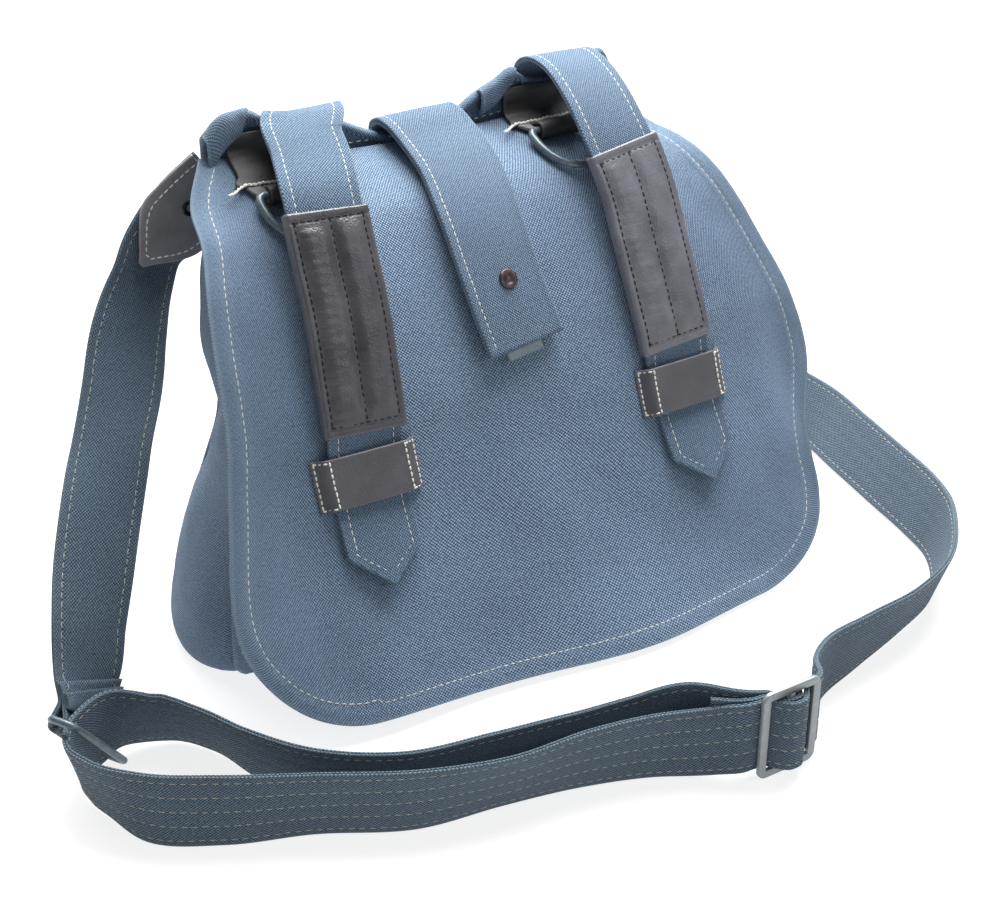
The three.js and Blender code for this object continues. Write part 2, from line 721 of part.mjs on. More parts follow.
// Centre tab with its rivet and hook
function tabFrames() {
  const rows = TAB_TOP_ROWS.map((r) => ({ ...r }));
  for (const r of TAB_LOW_ROWS) {
    const p = above(r.x, r.down, r.rise);
    rows.push({ x: p.x, y: p.y, z: p.z });
  }
  return frames(bySteps(rows, 12, 0.3).map((r) => ({ ...r, sx: 1, sy: 0.05, sz: 0 })));
}

// Flat hook under the lower end of the tab, with its rounded end showing below the edge
function hook() {
  const below = TAB_CANVAS / 2 + GAP + 0.8;
  const last = tabList[tabList.length - 1];
  const list = tabList.slice(-4).map((f) => ({ ...f, at: f.at.clone().addScaledVector(f.face, -below) }));
  const ahead = list[list.length - 1].at.clone().addScaledVector(last.along, 4.5);
  list.push({ ...last, at: ahead });
  list.forEach((f) => {
    f.half = 12;
  });
  return strap(list, 24, 1.6);
}

// D-rings and their leather tabs
function dDown(hand, down) {
  return down - (hand > 0 ? D_RIGHT_UP * Math.min(1, down / 20) : 0);
}

function dTab(hand) {
  const x = hand * D_X + D_SHIFT;
  const seam = flapPoint(x, 0).z;
  const face = RIM_Y - RIM_CANVAS / 2 - GAP - LEATHER / 2;
  const turned = (over) => ({ sx: over.x, sy: over.y, sz: over.z });
  const top = turned(flapOver(x, 0));
  const rows = [
    { x, y: face - 2.8, z: seam + 10, half: 20, ...top },
    { x, y: face - 2.6, z: seam + 7, half: 20, ...top },
    { x, y: face - 3.4, z: seam + 4.4, half: 20, ...top },
  ];
  for (const r of D_TAB_ROWS) {
    const down = dDown(hand, r.down);
    const p = above(x, down, r.rise);
    const over = flapOver(x, r.down > 20 ? dDown(hand, D_BAR_DOWN) : down);
    rows.push({ x: p.x, y: p.y, z: p.z, half: r.half, ...turned(over) });
  }
  return strap(frames(bySteps(rows, 12, 0.6)), 40, LEATHER);
}

function dRing(hand) {
  const x = hand * D_X + D_SHIFT;
  const down = dDown(hand, D_BAR_DOWN);
  const bar = above(x, down, D_BAR_RISE);
  const foot = above(x, down + D_DEPTH, 1 + GAP + D_WIRE + 1.4);
  const along = flapOver(x, down);
  const across = foot.sub(bar);
  across.addScaledVector(along, -across.dot(along)).normalize();
  const points = [];
  const bend = 3.2;
  points.push(new THREE.Vector2(-D_HALF + bend, 0), new THREE.Vector2(D_HALF - bend, 0));
  points.push(new THREE.Vector2(D_HALF - bend * 0.3, bend * 0.3));
  for (let k = 0; k <= 16; k += 1) {
    const turn = Math.PI * k / 16;
    const reach = bend + (D_DEPTH - bend) * Math.sin(turn) ** 0.9;
    points.push(new THREE.Vector2(D_HALF * Math.cos(turn), reach));
  }
  points.push(new THREE.Vector2(-D_HALF + bend * 0.3, bend * 0.3));
  return wireLoop(points, bar, along, across, D_WIRE, 8);
}

// Round flat head turned about its axis
function head(profile, at, axis) {
  const geometry = new THREE.LatheGeometry(profile.map(([r, h]) => new THREE.Vector2(r, h)), 20);
  const turn = new THREE.Quaternion().setFromUnitVectors(new THREE.Vector3(0, 1, 0), axis);
  geometry.applyQuaternion(turn);
  geometry.translate(at.x, at.y, at.z);
  return geometry;
}

// Shoulder strap
function mirrored(rows, hand) {
  const drop = hand > 0 ? RIGHT_END_DROP : 0;
  return rows.map((r) => ({ ...r, x: hand * -r.x, z: r.z - drop, sz: hand * -r.sz, sy: hand * -r.sy }));
}

function sliderPlace(row) {
  const p = { x: SLIDER_AT.x + row.x, y: SLIDER_AT.y + row.y, z: SLIDER_AT.z };
  return { ...p, sx: 0, sy: 0, sz: 1 };
}

function longStrap() {
  const start = [...mirrored(TOP_ROWS, 1), ...LONG_ROWS];
  const rows = [...start, ...WEAVE_ROWS.map(sliderPlace), ...RUN_ROWS, ...WRAP_ROWS.map(sliderPlace)];
  const list = frames(bySteps(rows, 16, 0.45));
  return strap(onFloor(list, STRAP_WIDTH, STRAP_CANVAS), STRAP_WIDTH, STRAP_CANVAS);
}

function shortStrap() {
  const bar = RING_AT.clone().addScaledVector(RING_ACROSS, -RING_HALF_GAP);
  const rows = [...TOP_ROWS, ...SHORT_ROWS];
  const along = { sx: RING_ALONG.x, sy: RING_ALONG.y, sz: RING_ALONG.z };
  const bend = RING_WIRE + GAP + STRAP_CANVAS / 2 + 0.2;
  const turns = [[-10, -1], [-4, -1], [0, -1], [0.71, -0.71], [1, 0], [0.71, 0.71], [0, 1], [-5, 1], [-18, 0.9]];
  for (const [out, across] of turns) {
    const p = bar.clone().addScaledVector(RING_ACROSS, across * bend);
    p.addScaledVector(RING_OUT, Math.abs(out) > 1 ? out : out * bend);
    rows.push({ x: p.x, y: p.y, z: p.z, ...along });
  }
  return strap(frames(bySteps(rows, 14, 0.45)), STRAP_WIDTH, STRAP_CANVAS);
}

function strapRing() {
  const points = [];
  const bend = 4;
  for (const [cx, cy, from] of [[1, -1, -90], [1, 1, 0], [-1, 1, 90], [-1, -1, 180]]) {
    for (let k = 0; k <= 3; k += 1) {
      const turn = THREE.MathUtils.degToRad(from + 30 * k);
      const x = cx * (RING_HALF_LENGTH - bend) + bend * Math.cos(turn);
      const y = cy * (RING_HALF_GAP - bend) + bend * Math.sin(turn);
      points.push(new THREE.Vector2(x, y));
    }
  }
  return wireLoop(points, RING_AT, RING_ALONG, RING_ACROSS, RING_WIRE, 8);
}

function roundedBox(target, x0, y0, x1, y1, bend) {
  target.moveTo(x0 + bend, y0);
  target.lineTo(x1 - bend, y0);
  target.absarc(x1 - bend, y0 + bend, bend, -Math.PI / 2, 0, false);
  target.lineTo(x1, y1 - bend);
  target.absarc(x1 - bend, y1 - bend, bend, 0, Math.PI / 2, false);
  target.lineTo(x0 + bend, y1);
  target.absarc(x0 + bend, y1 - bend, bend, Math.PI / 2, Math.PI, false);
  target.lineTo(x0, y0 + bend);
  target.absarc(x0 + bend, y0 + bend, bend, Math.PI, 1.5 * Math.PI, false);
  return target;
}

function slider() {
  const w = SLIDER_WIDTH / 2;
  const h = SLIDER_HEIGHT / 2;
  const shape = roundedBox(new THREE.Shape(), -w, -h, w, h, 2);
  shape.holes.push(roundedBox(new THREE.Path(), -w + 4.5, -h + 4.2, -2, h - 4.2, 1));
  shape.holes.push(roundedBox(new THREE.Path(), 2, -h + 4.2, w - 4.5, h - 4.2, 1));
  const settings = { depth: SLIDER_PLATE, bevelEnabled: false, curveSegments: 4 };
  const geometry = new THREE.ExtrudeGeometry(shape, settings);
  geometry.translate(0, 0, -SLIDER_PLATE / 2);
  geometry.rotateX(Math.PI / 2);
  geometry.translate(SLIDER_AT.x, SLIDER_AT.y, SLIDER_AT.z);
  return geometry;
}

function strapEnd(hand) {
  return strap(frames(bySteps(mirrored(END_ROWS, hand), 12, 0.4)), STRAP_WIDTH, LEATHER);
}

const EYELET_PROFILE = [[0, 0], [4.2, 0], [4.2, 0.5], [3.2, 1.2], [1.6, 1.1], [1, 0.6], [0, 0.6]];

const bag = new THREE.Group();

function add(name, geometry, color, roughness, metalness) {
  const material = new THREE.MeshStandardMaterial({ color, roughness, metalness });
  const mesh = new THREE.Mesh(geometry, material);
  mesh.name = name;
  bag.add(mesh);
}

add('front_panel', frontPanel(), BLUE_CANVAS, 0.95, 0);
add('back_panel', backPanel(), BLUE_CANVAS, 0.95, 0);
add('gusset', gusset(), BLUE_CANVAS, 0.95, 0);
add('rim', rim(), BLUE_CANVAS, 0.95, 0);
add('flap', flap(), BLUE_CANVAS, 0.95, 0);

for (const [side, hand] of [['left', -1], ['right', 1]]) {
  const list = loopFrames(hand);
  const first = list.findIndex((f) => f.at.y < -18 && f.at.z < 238);
  const low = above(hand * 93, 152, 6).z;
  const last = list.findLastIndex((f) => f.at.z >= low - 0.5);
  const held = list.slice(first, last + 1);
  add(`loop_sleeve_${side}`, sleeve(held, SLEEVE_WIDTH, SLEEVE_DEPTH, SLEEVE_WALL), DARK_LEATHER, 0.5, 0);
  add(`belt_loop_${side}`, beltLoop(list), BLUE_CANVAS, 0.95, 0);
  add(`keeper_${side}`, keeper(hand), GREY_LEATHER, 0.75, 0);
  add(`d_ring_tab_${side}`, dTab(hand), DARK_LEATHER, 0.7, 0);
  add(`d_ring_${side}`, dRing(hand), PAINTED_STEEL, 0.4, 0.7);
  add(`strap_end_${side}`, strapEnd(hand), GREY_LEATHER, 0.75, 0);
}

const tabList = tabFrames();
add('centre_tab', strap(tabList, TAB_WIDTH, TAB_CANVAS), BLUE_CANVAS, 0.95, 0);

const rivetAt = tabList.reduce((best, f) => {
  const target = above(3, 98, 6.5);
  return f.at.distanceTo(target) < best.at.distanceTo(target) ? f : best;
});
const RIVET_PROFILE = [[0, 0], [5.2, 0], [5.2, 0.7], [4.2, 1.5], [2.6, 1.6], [1.8, 1], [0, 0.9]];
const rivetFoot = rivetAt.at.clone().addScaledVector(rivetAt.face, TAB_CANVAS / 2 + 0.35);
rivetFoot.addScaledVector(rivetAt.side, 2);
add('tab_rivet', head(RIVET_PROFILE, rivetFoot, rivetAt.face), DULL_COPPER, 0.45, 0.8);
add('tab_hook', hook(), PAINTED_STEEL, 0.4, 0.7);

for (const [side, hand] of [['left', -1], ['right', 1]]) {
  const f = frames(mirrored(END_ROWS, hand))[1];
  const foot = f.at.clone().addScaledVector(f.face, LEATHER / 2 + 0.35);
  add(`strap_rivet_${side}`, head(EYELET_PROFILE, foot, f.face), 0x1c1c1e, 0.4, 0.6);
}

add('strap_short', shortStrap(), BLUE_CANVAS, 0.95, 0);
add('strap_long', longStrap(), BLUE_CANVAS, 0.95, 0);
add('strap_ring', strapRing(), PAINTED_STEEL, 0.4, 0.7);
add('slider', slider(), PAINTED_STEEL, 0.4, 0.7);

export default bag;
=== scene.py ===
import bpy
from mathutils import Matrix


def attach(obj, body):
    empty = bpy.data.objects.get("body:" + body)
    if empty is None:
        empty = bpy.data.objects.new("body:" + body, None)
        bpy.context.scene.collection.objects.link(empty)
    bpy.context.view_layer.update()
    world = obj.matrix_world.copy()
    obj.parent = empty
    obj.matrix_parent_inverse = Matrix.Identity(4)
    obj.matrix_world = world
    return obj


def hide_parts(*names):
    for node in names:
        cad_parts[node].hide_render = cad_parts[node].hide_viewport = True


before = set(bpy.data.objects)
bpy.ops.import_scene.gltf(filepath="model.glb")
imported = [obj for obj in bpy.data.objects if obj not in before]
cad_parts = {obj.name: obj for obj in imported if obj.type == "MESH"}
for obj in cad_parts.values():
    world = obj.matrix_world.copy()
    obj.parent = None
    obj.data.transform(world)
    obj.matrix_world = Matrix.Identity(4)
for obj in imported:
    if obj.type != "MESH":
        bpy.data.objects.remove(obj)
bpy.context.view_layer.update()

import math
import random

import bpy
from mathutils import Matrix, Vector, noise

# All tables are in millimetres, in the frame of the solids
MM = 0.001
random.seed(11)

# Camera of the photograph
CAMERA_AT = (-452.5, -763.5, 558.8)
CAMERA_TARGET = (-5.37, -43.66, 81.73)
CAMERA_LENS = 66.5

# Cloth and leather sizes
CANVAS = 2.0
LEATHER = 1.8
LOOP_WIDTH, LOOP_THICK = 40, 3.0
TAB_WIDTH, TAB_THICK = 46, 4.0
STRAP_WIDTH, STRAP_THICK, RIGHT_END_DROP = 39, 2.6, 28
SLEEVE_WIDTH, SLEEVE_DEPTH = 44, 6.6
KEEPER_WIDTH, KEEPER_FROM, KEEPER_TO, KEEPER_X = 56, 161, 187, 94.8
FLAP_CORNER, FLAP_SLANT, FLAP_HALF = 58, 7, 176
CORNER_RADIUS, CORNER_RISE = 11, 12
POUCH_TOP, BACK_TOP = 203, 229.5
RIM_FOOT, RIM_Y, RIM_THICK, RIM_HALF = 230, 47.4, 5.0, 121
D_WIRE, D_HALF, D_DEPTH = 2.2, 17.8, 28
D_BAR_DOWN, D_BAR_RISE, D_X, D_SHIFT, D_RIGHT_UP = 30.5, 6.4, 80, -11, 7.5
RING_WIRE, RING_HALF_LENGTH, RING_HALF_GAP = 1.8, 27.2, 7.2
SLIDER_HEIGHT, SLIDER_WIDTH, SLIDER_PLATE = 49, 34, 2.6
SLIDER_AT = Vector((29, -245, 24.8))
RING_AT = Vector((-253.5, -80.2, 24))
RING_ALONG = Vector((0.52, 0.3, -0.8)).normalized()
RING_ACROSS = Vector((0.5, -0.86, 0))
RING_ACROSS = (RING_ACROSS - RING_ALONG * RING_ACROSS.dot(RING_ALONG)).normalized()
RING_OUT = RING_ALONG.cross(RING_ACROSS)


def table(columns, *rows):
    return [dict(zip(columns.split(), row)) for row in rows]


POUCH_ROWS = table(
    "z half rear front back side belly",
    (0, 160, 151, -41, 41, 21, 2),
    (22, 161, 150, -44, 43, 18.5, 17),
    (50, 160, 146, -45, 44, 16, 25),
    (80, 157, 133, -44, 45, 14.5, 23),
    (105, 151, 123, -40, 46, 7.5, 19),
    (125, 147, 121, -36, 46, 4.5, 15),
    (150, 144, 121, -29, 46, 10.5, 11),
    (178, 140, 122, -17, 46, 11, 9),
    (203, 134, 122, -5, 46, 6, 7),
    (230, 122, 121, 12, 46, 0, 0),
)
FLAP_ROWS = table(
    "y z half shift left right dropL dropR",
    (42.4, 233, 120, -5, 0, 0, -12, -7),
    (20, 228, 133, -6, 3, 0, -3, 1),
    (-4, 218, 143, -1, 5, 1, 1, 2),
    (-23, 198, 153, 2, 6, 3, 1, 1),
    (-38, 172, 161, 5.5, 6, 5, 0, 0),
    (-53, 140, 169.2, 10.2, 6, 6, 0, 0),
    (-66, 106, 176.2, 9.2, 5, 6, 0, 0),
    (-86, 66, 174.5, -3.5, 3, 2, 0, 0),
    (-109, 28, 174.5, -3.5, 4, 3, 0, 0),
    (-123, 2.5, 174.5, -3.5, 6, 3, 0, 0),
)
RIM_ROWS = table(
    "x top lean",
    (-121, 254, 0), (-114, 262, 3), (-104, 264.5, 4), (-95, 264, 3), (-89, 260, 2), (-80, 253, 1),
    (-46, 250, 0), (-36, 245, 0), (-28, 241, 0), (20, 239.5, 0), (30, 247.5, 0),
    (46, 255, 1), (55, 260, 3), (66, 254, 1), (95, 253, 1), (106, 259, 2),
    (114, 262, 2), (121, 252, 0),
)
LOOP_TOP_ROWS = table(
    "x y z lean",
    (76, 49.2, 204, 5), (76, 50.6, 218, 5), (76, 52.6, 232, 5), (76, 53.2, 251.5, 6),
    (76, 48.5, 261, 7), (77, 39, 264.5, 6), (80, 26, 263, 3), (82, 8, 255, 1),
    (85, -10, 240, -1),
)
LOOP_LOW_ROWS = table(
    "x down rise",
    (88, 69, 13), (89, 95, 9.5), (91, 124, 7.5), (93, 152, 6), (94, 163, 3.7),
    (95.5, 186, 3.6), (96.5, 206, 5), (97.5, 229, 8.2),
)
TAB_TOP_ROWS = table(
    "x y z",
    (-2, 51.6, 214), (-2, 54.2, 234), (-2, 53.4, 241.5), (-1.5, 48, 245), (-1, 40, 245),
    (0, 27, 240),
)
TAB_LOW_ROWS = table(
    "x down rise", (0, 36, 7), (-2, 62, 5.2), (-1, 98, 6), (3, 132, 8),
)
D_TAB_ROWS = table(
    "down rise half",
    (5, 2.9, 20), (12, 2.9, 20), (20, 2.9, 20), (22, 3.6, 12.5), (26, 7.6, 12.5),
    (30.5, 10.3, 12.5), (33.3, 9.2, 12.5), (34.4, 6.4, 12.5), (33.3, 3.6, 12.5),
    (30.5, 2.5, 12.5), (26, 2.5, 12.5),
)
END_ROWS = table(
    "x y z sx sy sz half",
    (-113, 51.2, 228, 0.7, 0, -0.71, 21), (-128, 52.4, 217.5, 0.7, 0, -0.71, 21),
    (-138, 52.7, 208.6, 0.7, 0, -0.71, 21), (-156.5, 51.8, 193, 0.7, 0, -0.71, 1.5),
)
TOP_ROWS = table(
    "x y z sx sy sz",
    (-111.4, 53.8, 229.6, 0.7, 0, -0.71), (-128, 55.2, 217.5, 0.7, 0, -0.71),
    (-138.5, 55.8, 207.4, 0.72, 0, -0.69), (-147.6, 57, 197.5, 0.75, 0.18, -0.62),
)
SHORT_ROWS = table(
    "x y z sx sy sz",
    (-155.3, 54.2, 184, 0.85, 0.18, -0.49), (-169.6, 40.8, 165, 0.95, -0.04, -0.28),
    (-184.5, 20, 144, 0.86, -0.4, -0.1), (-198, 3, 127, 0.85, -0.52, 0),
    (-211.5, -14.3, 108, 0.95, -0.27, -0.15), (-226.3, -34, 84, 0.948, -0.15, -0.27),
    (-236.5, -48.6, 64, 0.87, 0, -0.49), (-243, -58, 46, 0.66, 0.02, -0.7),
)
LONG_ROWS = table(
    "x y z sx sy sz",
    (158, 62, 147, 0.85, 0.05, 0.55), (182, 72, 106, 0.8, 0.1, 0.6), (212, 76, 61, 0.65, 0.1, 0.75),
    (240, 62, 32, 0.58, 0.1, 0.8), (254, 34, 18.5, 0.55, 0, 0.83), (256, 4, 17, 0.55, 0, 0.83),
    (248.5, -38, 16.7, 0.54, 0, 0.84), (240, -80, 17, 0.5, 0, 0.86), (232, -116, 17.6, 0.42, 0, 0.9),
    (222.5, -142, 19, 0.25, -0.1, 0.96), (207, -163, 19.5, 0.12, -0.2, 0.97),
    (188, -180, 19.5, 0.05, -0.3, 0.95), (150, -196, 19.5, 0, -0.35, 0.94),
    (110, -205, 19.8, 0, -0.2, 0.98), (78, -213.5, 20.8, 0, -0.06, 1), (60, -226, 22.8, 0, 0, 1),
)
WEAVE_ROWS = table(
    "x y",
    (19, 3.6), (14.8, 2.9), (12, 2.7), (10, 1.2), (7, -2.8), (3.2, -6.3), (0, -6.7), (-3.2, -6.3),
    (-7, -2.8), (-10, 1.2), (-12, 2.7), (-14.8, 2.9), (-20, 3.6),
)
RUN_ROWS = table(
    "x y z sx sy sz",
    (-4, -232, 21.5, 0, 0, 1), (-30, -218, 20, 0, -0.1, 0.99), (-60, -209, 19.5, 0, -0.2, 0.98),
    (-100, -203, 19, 0, -0.33, 0.94), (-140, -194, 19.5, 0, -0.2, 0.98),
    (-183, -171, 19.4, 0, -0.16, 0.98), (-220, -153.5, 19.6, 0, 0, 1),
    (-248, -134, 19.6, -0.05, 0.04, 1), (-260.5, -111, 20, -0.26, 0, 0.96),
    (-264.5, -96.5, 20.7, -0.25, 0.02, 0.97), (-262.5, -86.5, 22, -0.1, 0, 0.99),
    (-254, -79.6, 24, 0, 0, 1), (-241, -73.8, 24.2, 0, -0.08, 1), (-233, -72.9, 22.8, 0, -0.26, 0.97),
    (-224, -74, 20.8, 0, -0.36, 0.93), (-213, -78.5, 19.6, -0.2, -0.3, 0.92),
    (-202, -94.5, 19.5, -0.28, -0.28, 0.91), (-191, -123, 19.3, -0.2, -0.27, 0.94),
    (-173, -154, 19.3, -0.1, -0.22, 0.96), (-142, -178.5, 19.5, 0, -0.18, 0.98),
    (-100, -189.5, 19.5, 0, -0.1, 0.99), (-60, -196.5, 19.5, 0, -0.1, 0.99),
    (-30, -205, 21.5, 0, 0, 1), (-8, -216, 26.6, 0, 0.05, 1),
)
WRAP_ROWS = table(
    "x y lift",
    (-20, 11.4, 2.4), (-15.5, 9.5, 1.3), (-9.5, 7.6, 0.3), (-5, 4.4, 0), (0, 3.1, 0), (3.7, 2.6, 0),
    (5.1, 0, 0), (3.6, -2.5, 0), (0, -3.1, 0), (-3.6, -2.5, 0), (-6.4, 0.7, 0), (-9.5, 4.6, 0),
    (-12.5, 5.8, 0), (-15.5, 6.1, 0), (-22, 8.4, 0), (-34, 17, 0),
)


# Curves through the rows of a table
def place(row):
    return Vector((row.get("x", 0), row.get("y", 0), row.get("z", 0)))


def slope(start, middle, end, before, after):
    return ((middle - start) / before * after + (end - middle) / after * before) / (before + after)


def between(rows, i, t):
    b, c = rows[i], rows[i + 1]
    a = rows[i - 1] if i > 0 else None
    d = rows[i + 2] if i + 2 < len(rows) else None
    span = (place(c) - place(b)).length
    before = (place(b) - place(a)).length if a else span
    after = (place(d) - place(c)).length if d else span
    row = {}
    for name in b:
        chord = c[name] - b[name]
        start = span * slope(a[name], b[name], c[name], before, span) if a else chord
        end = span * slope(b[name], c[name], d[name], span, after) if d else chord
        bend = 3 * chord - 2 * start - end
        twist = start + end - 2 * chord
        row[name] = b[name] + start * t + bend * t * t + twist * t * t * t
    return row


def lookup(rows, column, value):
    i = 0
    while i < len(rows) - 2 and rows[i + 1][column] < value:
        i += 1
    t = (value - rows[i][column]) / (rows[i + 1][column] - rows[i][column])
    return between(rows, i, min(max(t, 0), 1))


def sampled(rows, step):
    samples = []
    for i in range(len(rows) - 1):
        length = (place(rows[i + 1]) - place(rows[i])).length
        count = max(1, math.ceil(length / step))
        samples += [between(rows, i, k / count) for k in range(count)]
    return samples + [dict(rows[-1])]


def ease(value, low, high):
    t = min(max((value - low) / (high - low), 0), 1)
    return t * t * (3 - 2 * t)


def near(value, middle, width):
    return math.exp(-((value - middle) / width) ** 2)


def ripple(x, y, size, seed=0.0):
    return noise.noise(Vector((x / size, y / size, seed)))


def row_at(p, side=None, **more):
    row = {"x": p.x, "y": p.y, "z": p.z, **more}
    if side is not None:
        row.update(sx=side.x, sy=side.y, sz=side.z)
    return row


# Frames along a strap: its point, directions and the length so far
def frames(samples):
    made = []
    run = 0
    for i, row in enumerate(samples):
        ahead = place(samples[min(i + 1, len(samples) - 1)])
        back = place(samples[max(i - 1, 0)])
        along = (ahead - back).normalized()
        side = Vector((row["sx"], row["sy"], row["sz"]))
        side = (side - along * side.dot(along)).normalized()
        if i:
            run += (place(row) - made[-1]["at"]).length
        made.append({"at": place(row), "along": along, "side": side, "face": along.cross(side),
                     "half": row.get("half"), "run": run})
    return made


def on_band(f, across, up):
    return f["at"] + f["side"] * across + f["face"] * up


def sewn_at(f, across, up):
    return on_band(f, across, up), f["face"]


def on_floor(made, width, thick):
    for f in made:
        reach = width / 2 * abs(f["side"].z) + thick / 2 * abs(f["face"].z)
        f["at"].z = max(f["at"].z, reach + 0.02)
    return made


def mirrored(rows, hand):
    drop = RIGHT_END_DROP if hand > 0 else 0
    return [dict(r, x=hand * -r["x"], z=r["z"] - drop, sy=hand * -r["sy"], sz=hand * -r["sz"]) for r in rows]


# Flap surface
flap_line = []
for i in range(len(FLAP_ROWS) - 1):
    flap_line += [between(FLAP_ROWS, i, k / 12) for k in range(12)]
flap_line.append(dict(FLAP_ROWS[-1]))
for i, row in enumerate(flap_line):
    earlier = flap_line[i - 1]
    row["down"] = earlier["down"] + (place(row) - place(earlier)).length if i else 0.0
FLAP_LENGTH = flap_line[-1]["down"]


def flap_row(down):
    i = 0
    while i < len(flap_line) - 2 and flap_line[i + 1]["down"] < down:
        i += 1
    low, high = flap_line[i], flap_line[i + 1]
    t = (down - low["down"]) / (high["down"] - low["down"])
    return {name: low[name] + (high[name] - low[name]) * t for name in low}


def flap_base(x, down):
    row = flap_row(down)
    u = (x - row["shift"]) / row["half"]
    back = (row["left"] if u < 0 else row["right"]) * abs(u) ** 3
    fall = (row["dropL"] if u < 0 else row["dropR"]) * u * u
    kick = 9 * near(x, 42, 58) * ease(down, 240, FLAP_LENGTH)
    return Vector((x, row["y"] + back - kick, row["z"] - fall))


def flap_normal(x, down):
    over = flap_base(x + 1, down) - flap_base(x - 1, down)
    fall = flap_base(x, down + 1) - flap_base(x, down - 1)
    return fall.cross(over).normalized()


def above(x, down, rise):
    return flap_base(x, down) + flap_normal(x, down) * rise


def flap_over(x, down):
    return (flap_base(x + 12, down) - flap_base(x - 12, down)).normalized()


def flap_edge(x, down):
    """Distance in millimetres from the flap's free edge."""
    row = flap_row(down)
    u = (x - row["shift"]) / row["half"]
    reach = abs(u) * row["half"]
    end = FLAP_LENGTH - FLAP_SLANT * max(0, -u)
    over = reach - (row["half"] - FLAP_CORNER)
    low = down - (end - FLAP_CORNER)
    if over > 0 and low > 0:
        return FLAP_CORNER - math.hypot(over, low)
    return min(row["half"] - reach, end - down)


def flap_relief(x, down):
    """Soft folds of the flap, kept low under the loops, keepers and tab."""
    quiet = 1.0
    for middle, wide, until in ((-90, 34, 236), (92, 34, 236), (2, 30, 140)):
        quiet *= 1 - 0.85 * near(x, middle, wide) ** 2 * (1 - ease(down, until, until + 25))
    quiet *= ease(down, 4, 40)
    swell = 2.1 * ripple(x, down, 75, 3.1) + 1.2 * ripple(x, down, 34, 8.2)
    swell += 0.35 * ripple(x, down, 13, 5.7)
    lower = ease(down, 150, 300)
    swell += lower * 1.6 * math.sin(x / 23 + 0.8) * near(down, 285, 40)
    swell += 2.0 * near(x, -112, 16) * near(down, 250, 60)
    swell -= 1.8 * near(x, -136, 13) * near(down, 200, 50)
    swell += 2.2 * near(x, 150, 12) * near(down, 205, 34) - 2.0 * near(x, 168, 8) * near(down, 190, 26)
    swell += 1.2 * math.sin((x - down * 0.4) / 17) * near(x, -20, 70) * near(down, 190, 45)
    edge = flap_edge(x, down)
    hem = 0.55 * (1 - ease(edge, 10.5, 12.5)) - 0.5 * near(edge, 9, 1.5)
    pucker = 0.28 * near(edge, 9, 5) * ripple(x * 1.0, down * 1.0, 5.5, 1.3)
    hang = ease(down, 24, 60)
    return swell * quiet + (hem + pucker) * hang


def flap_point(x, down, rise=0.0):
    return above(x, down, flap_relief(x, down) + rise)


# Meshes
def plain_select():
    if bpy.context.mode != "OBJECT":
        bpy.ops.object.mode_set(mode="OBJECT")
    bpy.ops.object.select_all(action="DESELECT")


def finish_modifiers(piece):
    plain_select()
    piece.select_set(True)
    bpy.context.view_layer.objects.active = piece
    for modifier in list(piece.modifiers):
        bpy.ops.object.modifier_apply(modifier=modifier.name)
    bpy.ops.object.shade_smooth()


def dress(piece, material, replaced=(), body="bag"):
    piece.data.materials.clear()
    piece.data.materials.append(material)
    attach(piece, body)
    if replaced:
        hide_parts(*replaced)
    return piece


def sheet(name, columns, rows, point, size, thick=CANVAS, wear=None):
    """Cloth sheet: a grid whose corners are laid on a surface and given a thickness."""
    plain_select()
    bpy.ops.mesh.primitive_grid_add(x_subdivisions=columns, y_subdivisions=rows, size=2, calc_uvs=True)
    piece = bpy.context.object
    piece.name = name
    piece.data.name = name
    mesh = piece.data
    spots = [((v.co.x + 1) / 2, (1 - v.co.y) / 2) for v in mesh.vertices]
    uv = mesh.uv_layers.active.data
    for loop in mesh.loops:
        u, v = spots[loop.vertex_index]
        uv[loop.index].uv = (u * size[0] * MM, v * size[1] * MM)
    shade = mesh.attributes.new("wear", "FLOAT", "POINT")
    for v, (s, t) in zip(mesh.vertices, spots):
        v.co = point(s, t) * MM
        shade.data[v.index].value = wear(s, t) if wear else 0.0
    mesh.update()
    thickness = piece.modifiers.new("thickness", "SOLIDIFY")
    thickness.thickness = thick * MM
    thickness.offset = 0
    thickness.use_even_offset = False
    rounding = piece.modifiers.new("edge", "BEVEL")
    rounding.width = 0.35 * thick * MM
    rounding.segments = 2
    rounding.limit_method = "ANGLE"
    rounding.angle_limit = math.radians(60)
    finish_modifiers(piece)
    return piece


def from_lists(name, points, faces, uvs=None, wear=None):
    mesh = bpy.data.meshes.new(name)
    mesh.from_pydata([tuple(p * MM) for p in points], [], faces)
    if uvs:
        layer = mesh.uv_layers.new(name="UVMap").data
        for loop in mesh.loops:
            layer[loop.index].uv = (uvs[loop.vertex_index][0] * MM, uvs[loop.vertex_index][1] * MM)
    shade = mesh.attributes.new("wear", "FLOAT", "POINT")
    if wear:
        for i, value in enumerate(wear):
            shade.data[i].value = value
    piece = bpy.data.objects.new(name, mesh)
    bpy.context.collection.objects.link(piece)
    plain_select()
    piece.select_set(True)
    bpy.context.view_layer.objects.active = piece
    bpy.ops.object.mode_set(mode="EDIT")
    bpy.ops.mesh.select_all(action="SELECT")
    bpy.ops.mesh.normals_make_consistent(inside=False)
    bpy.ops.object.mode_set(mode="OBJECT")
    bpy.ops.object.shade_smooth()
    return piece


def tube_faces(rings, count, closed=False, first=0):
    """Faces between rings of points. The two ends are closed, unless the tube meets itself."""
    faces = []
    for i in range(rings if closed else rings - 1):
        a, b = first + i * count, first + (i + 1) % rings * count
        faces += [(a + k, a + (k + 1) % count, b + (k + 1) % count, b + k) for k in range(count)]
    if not closed:
        end = first + rings * count
        faces += [tuple(range(first, first + count)), tuple(range(end - 1, end - count - 1, -1))]
    return faces


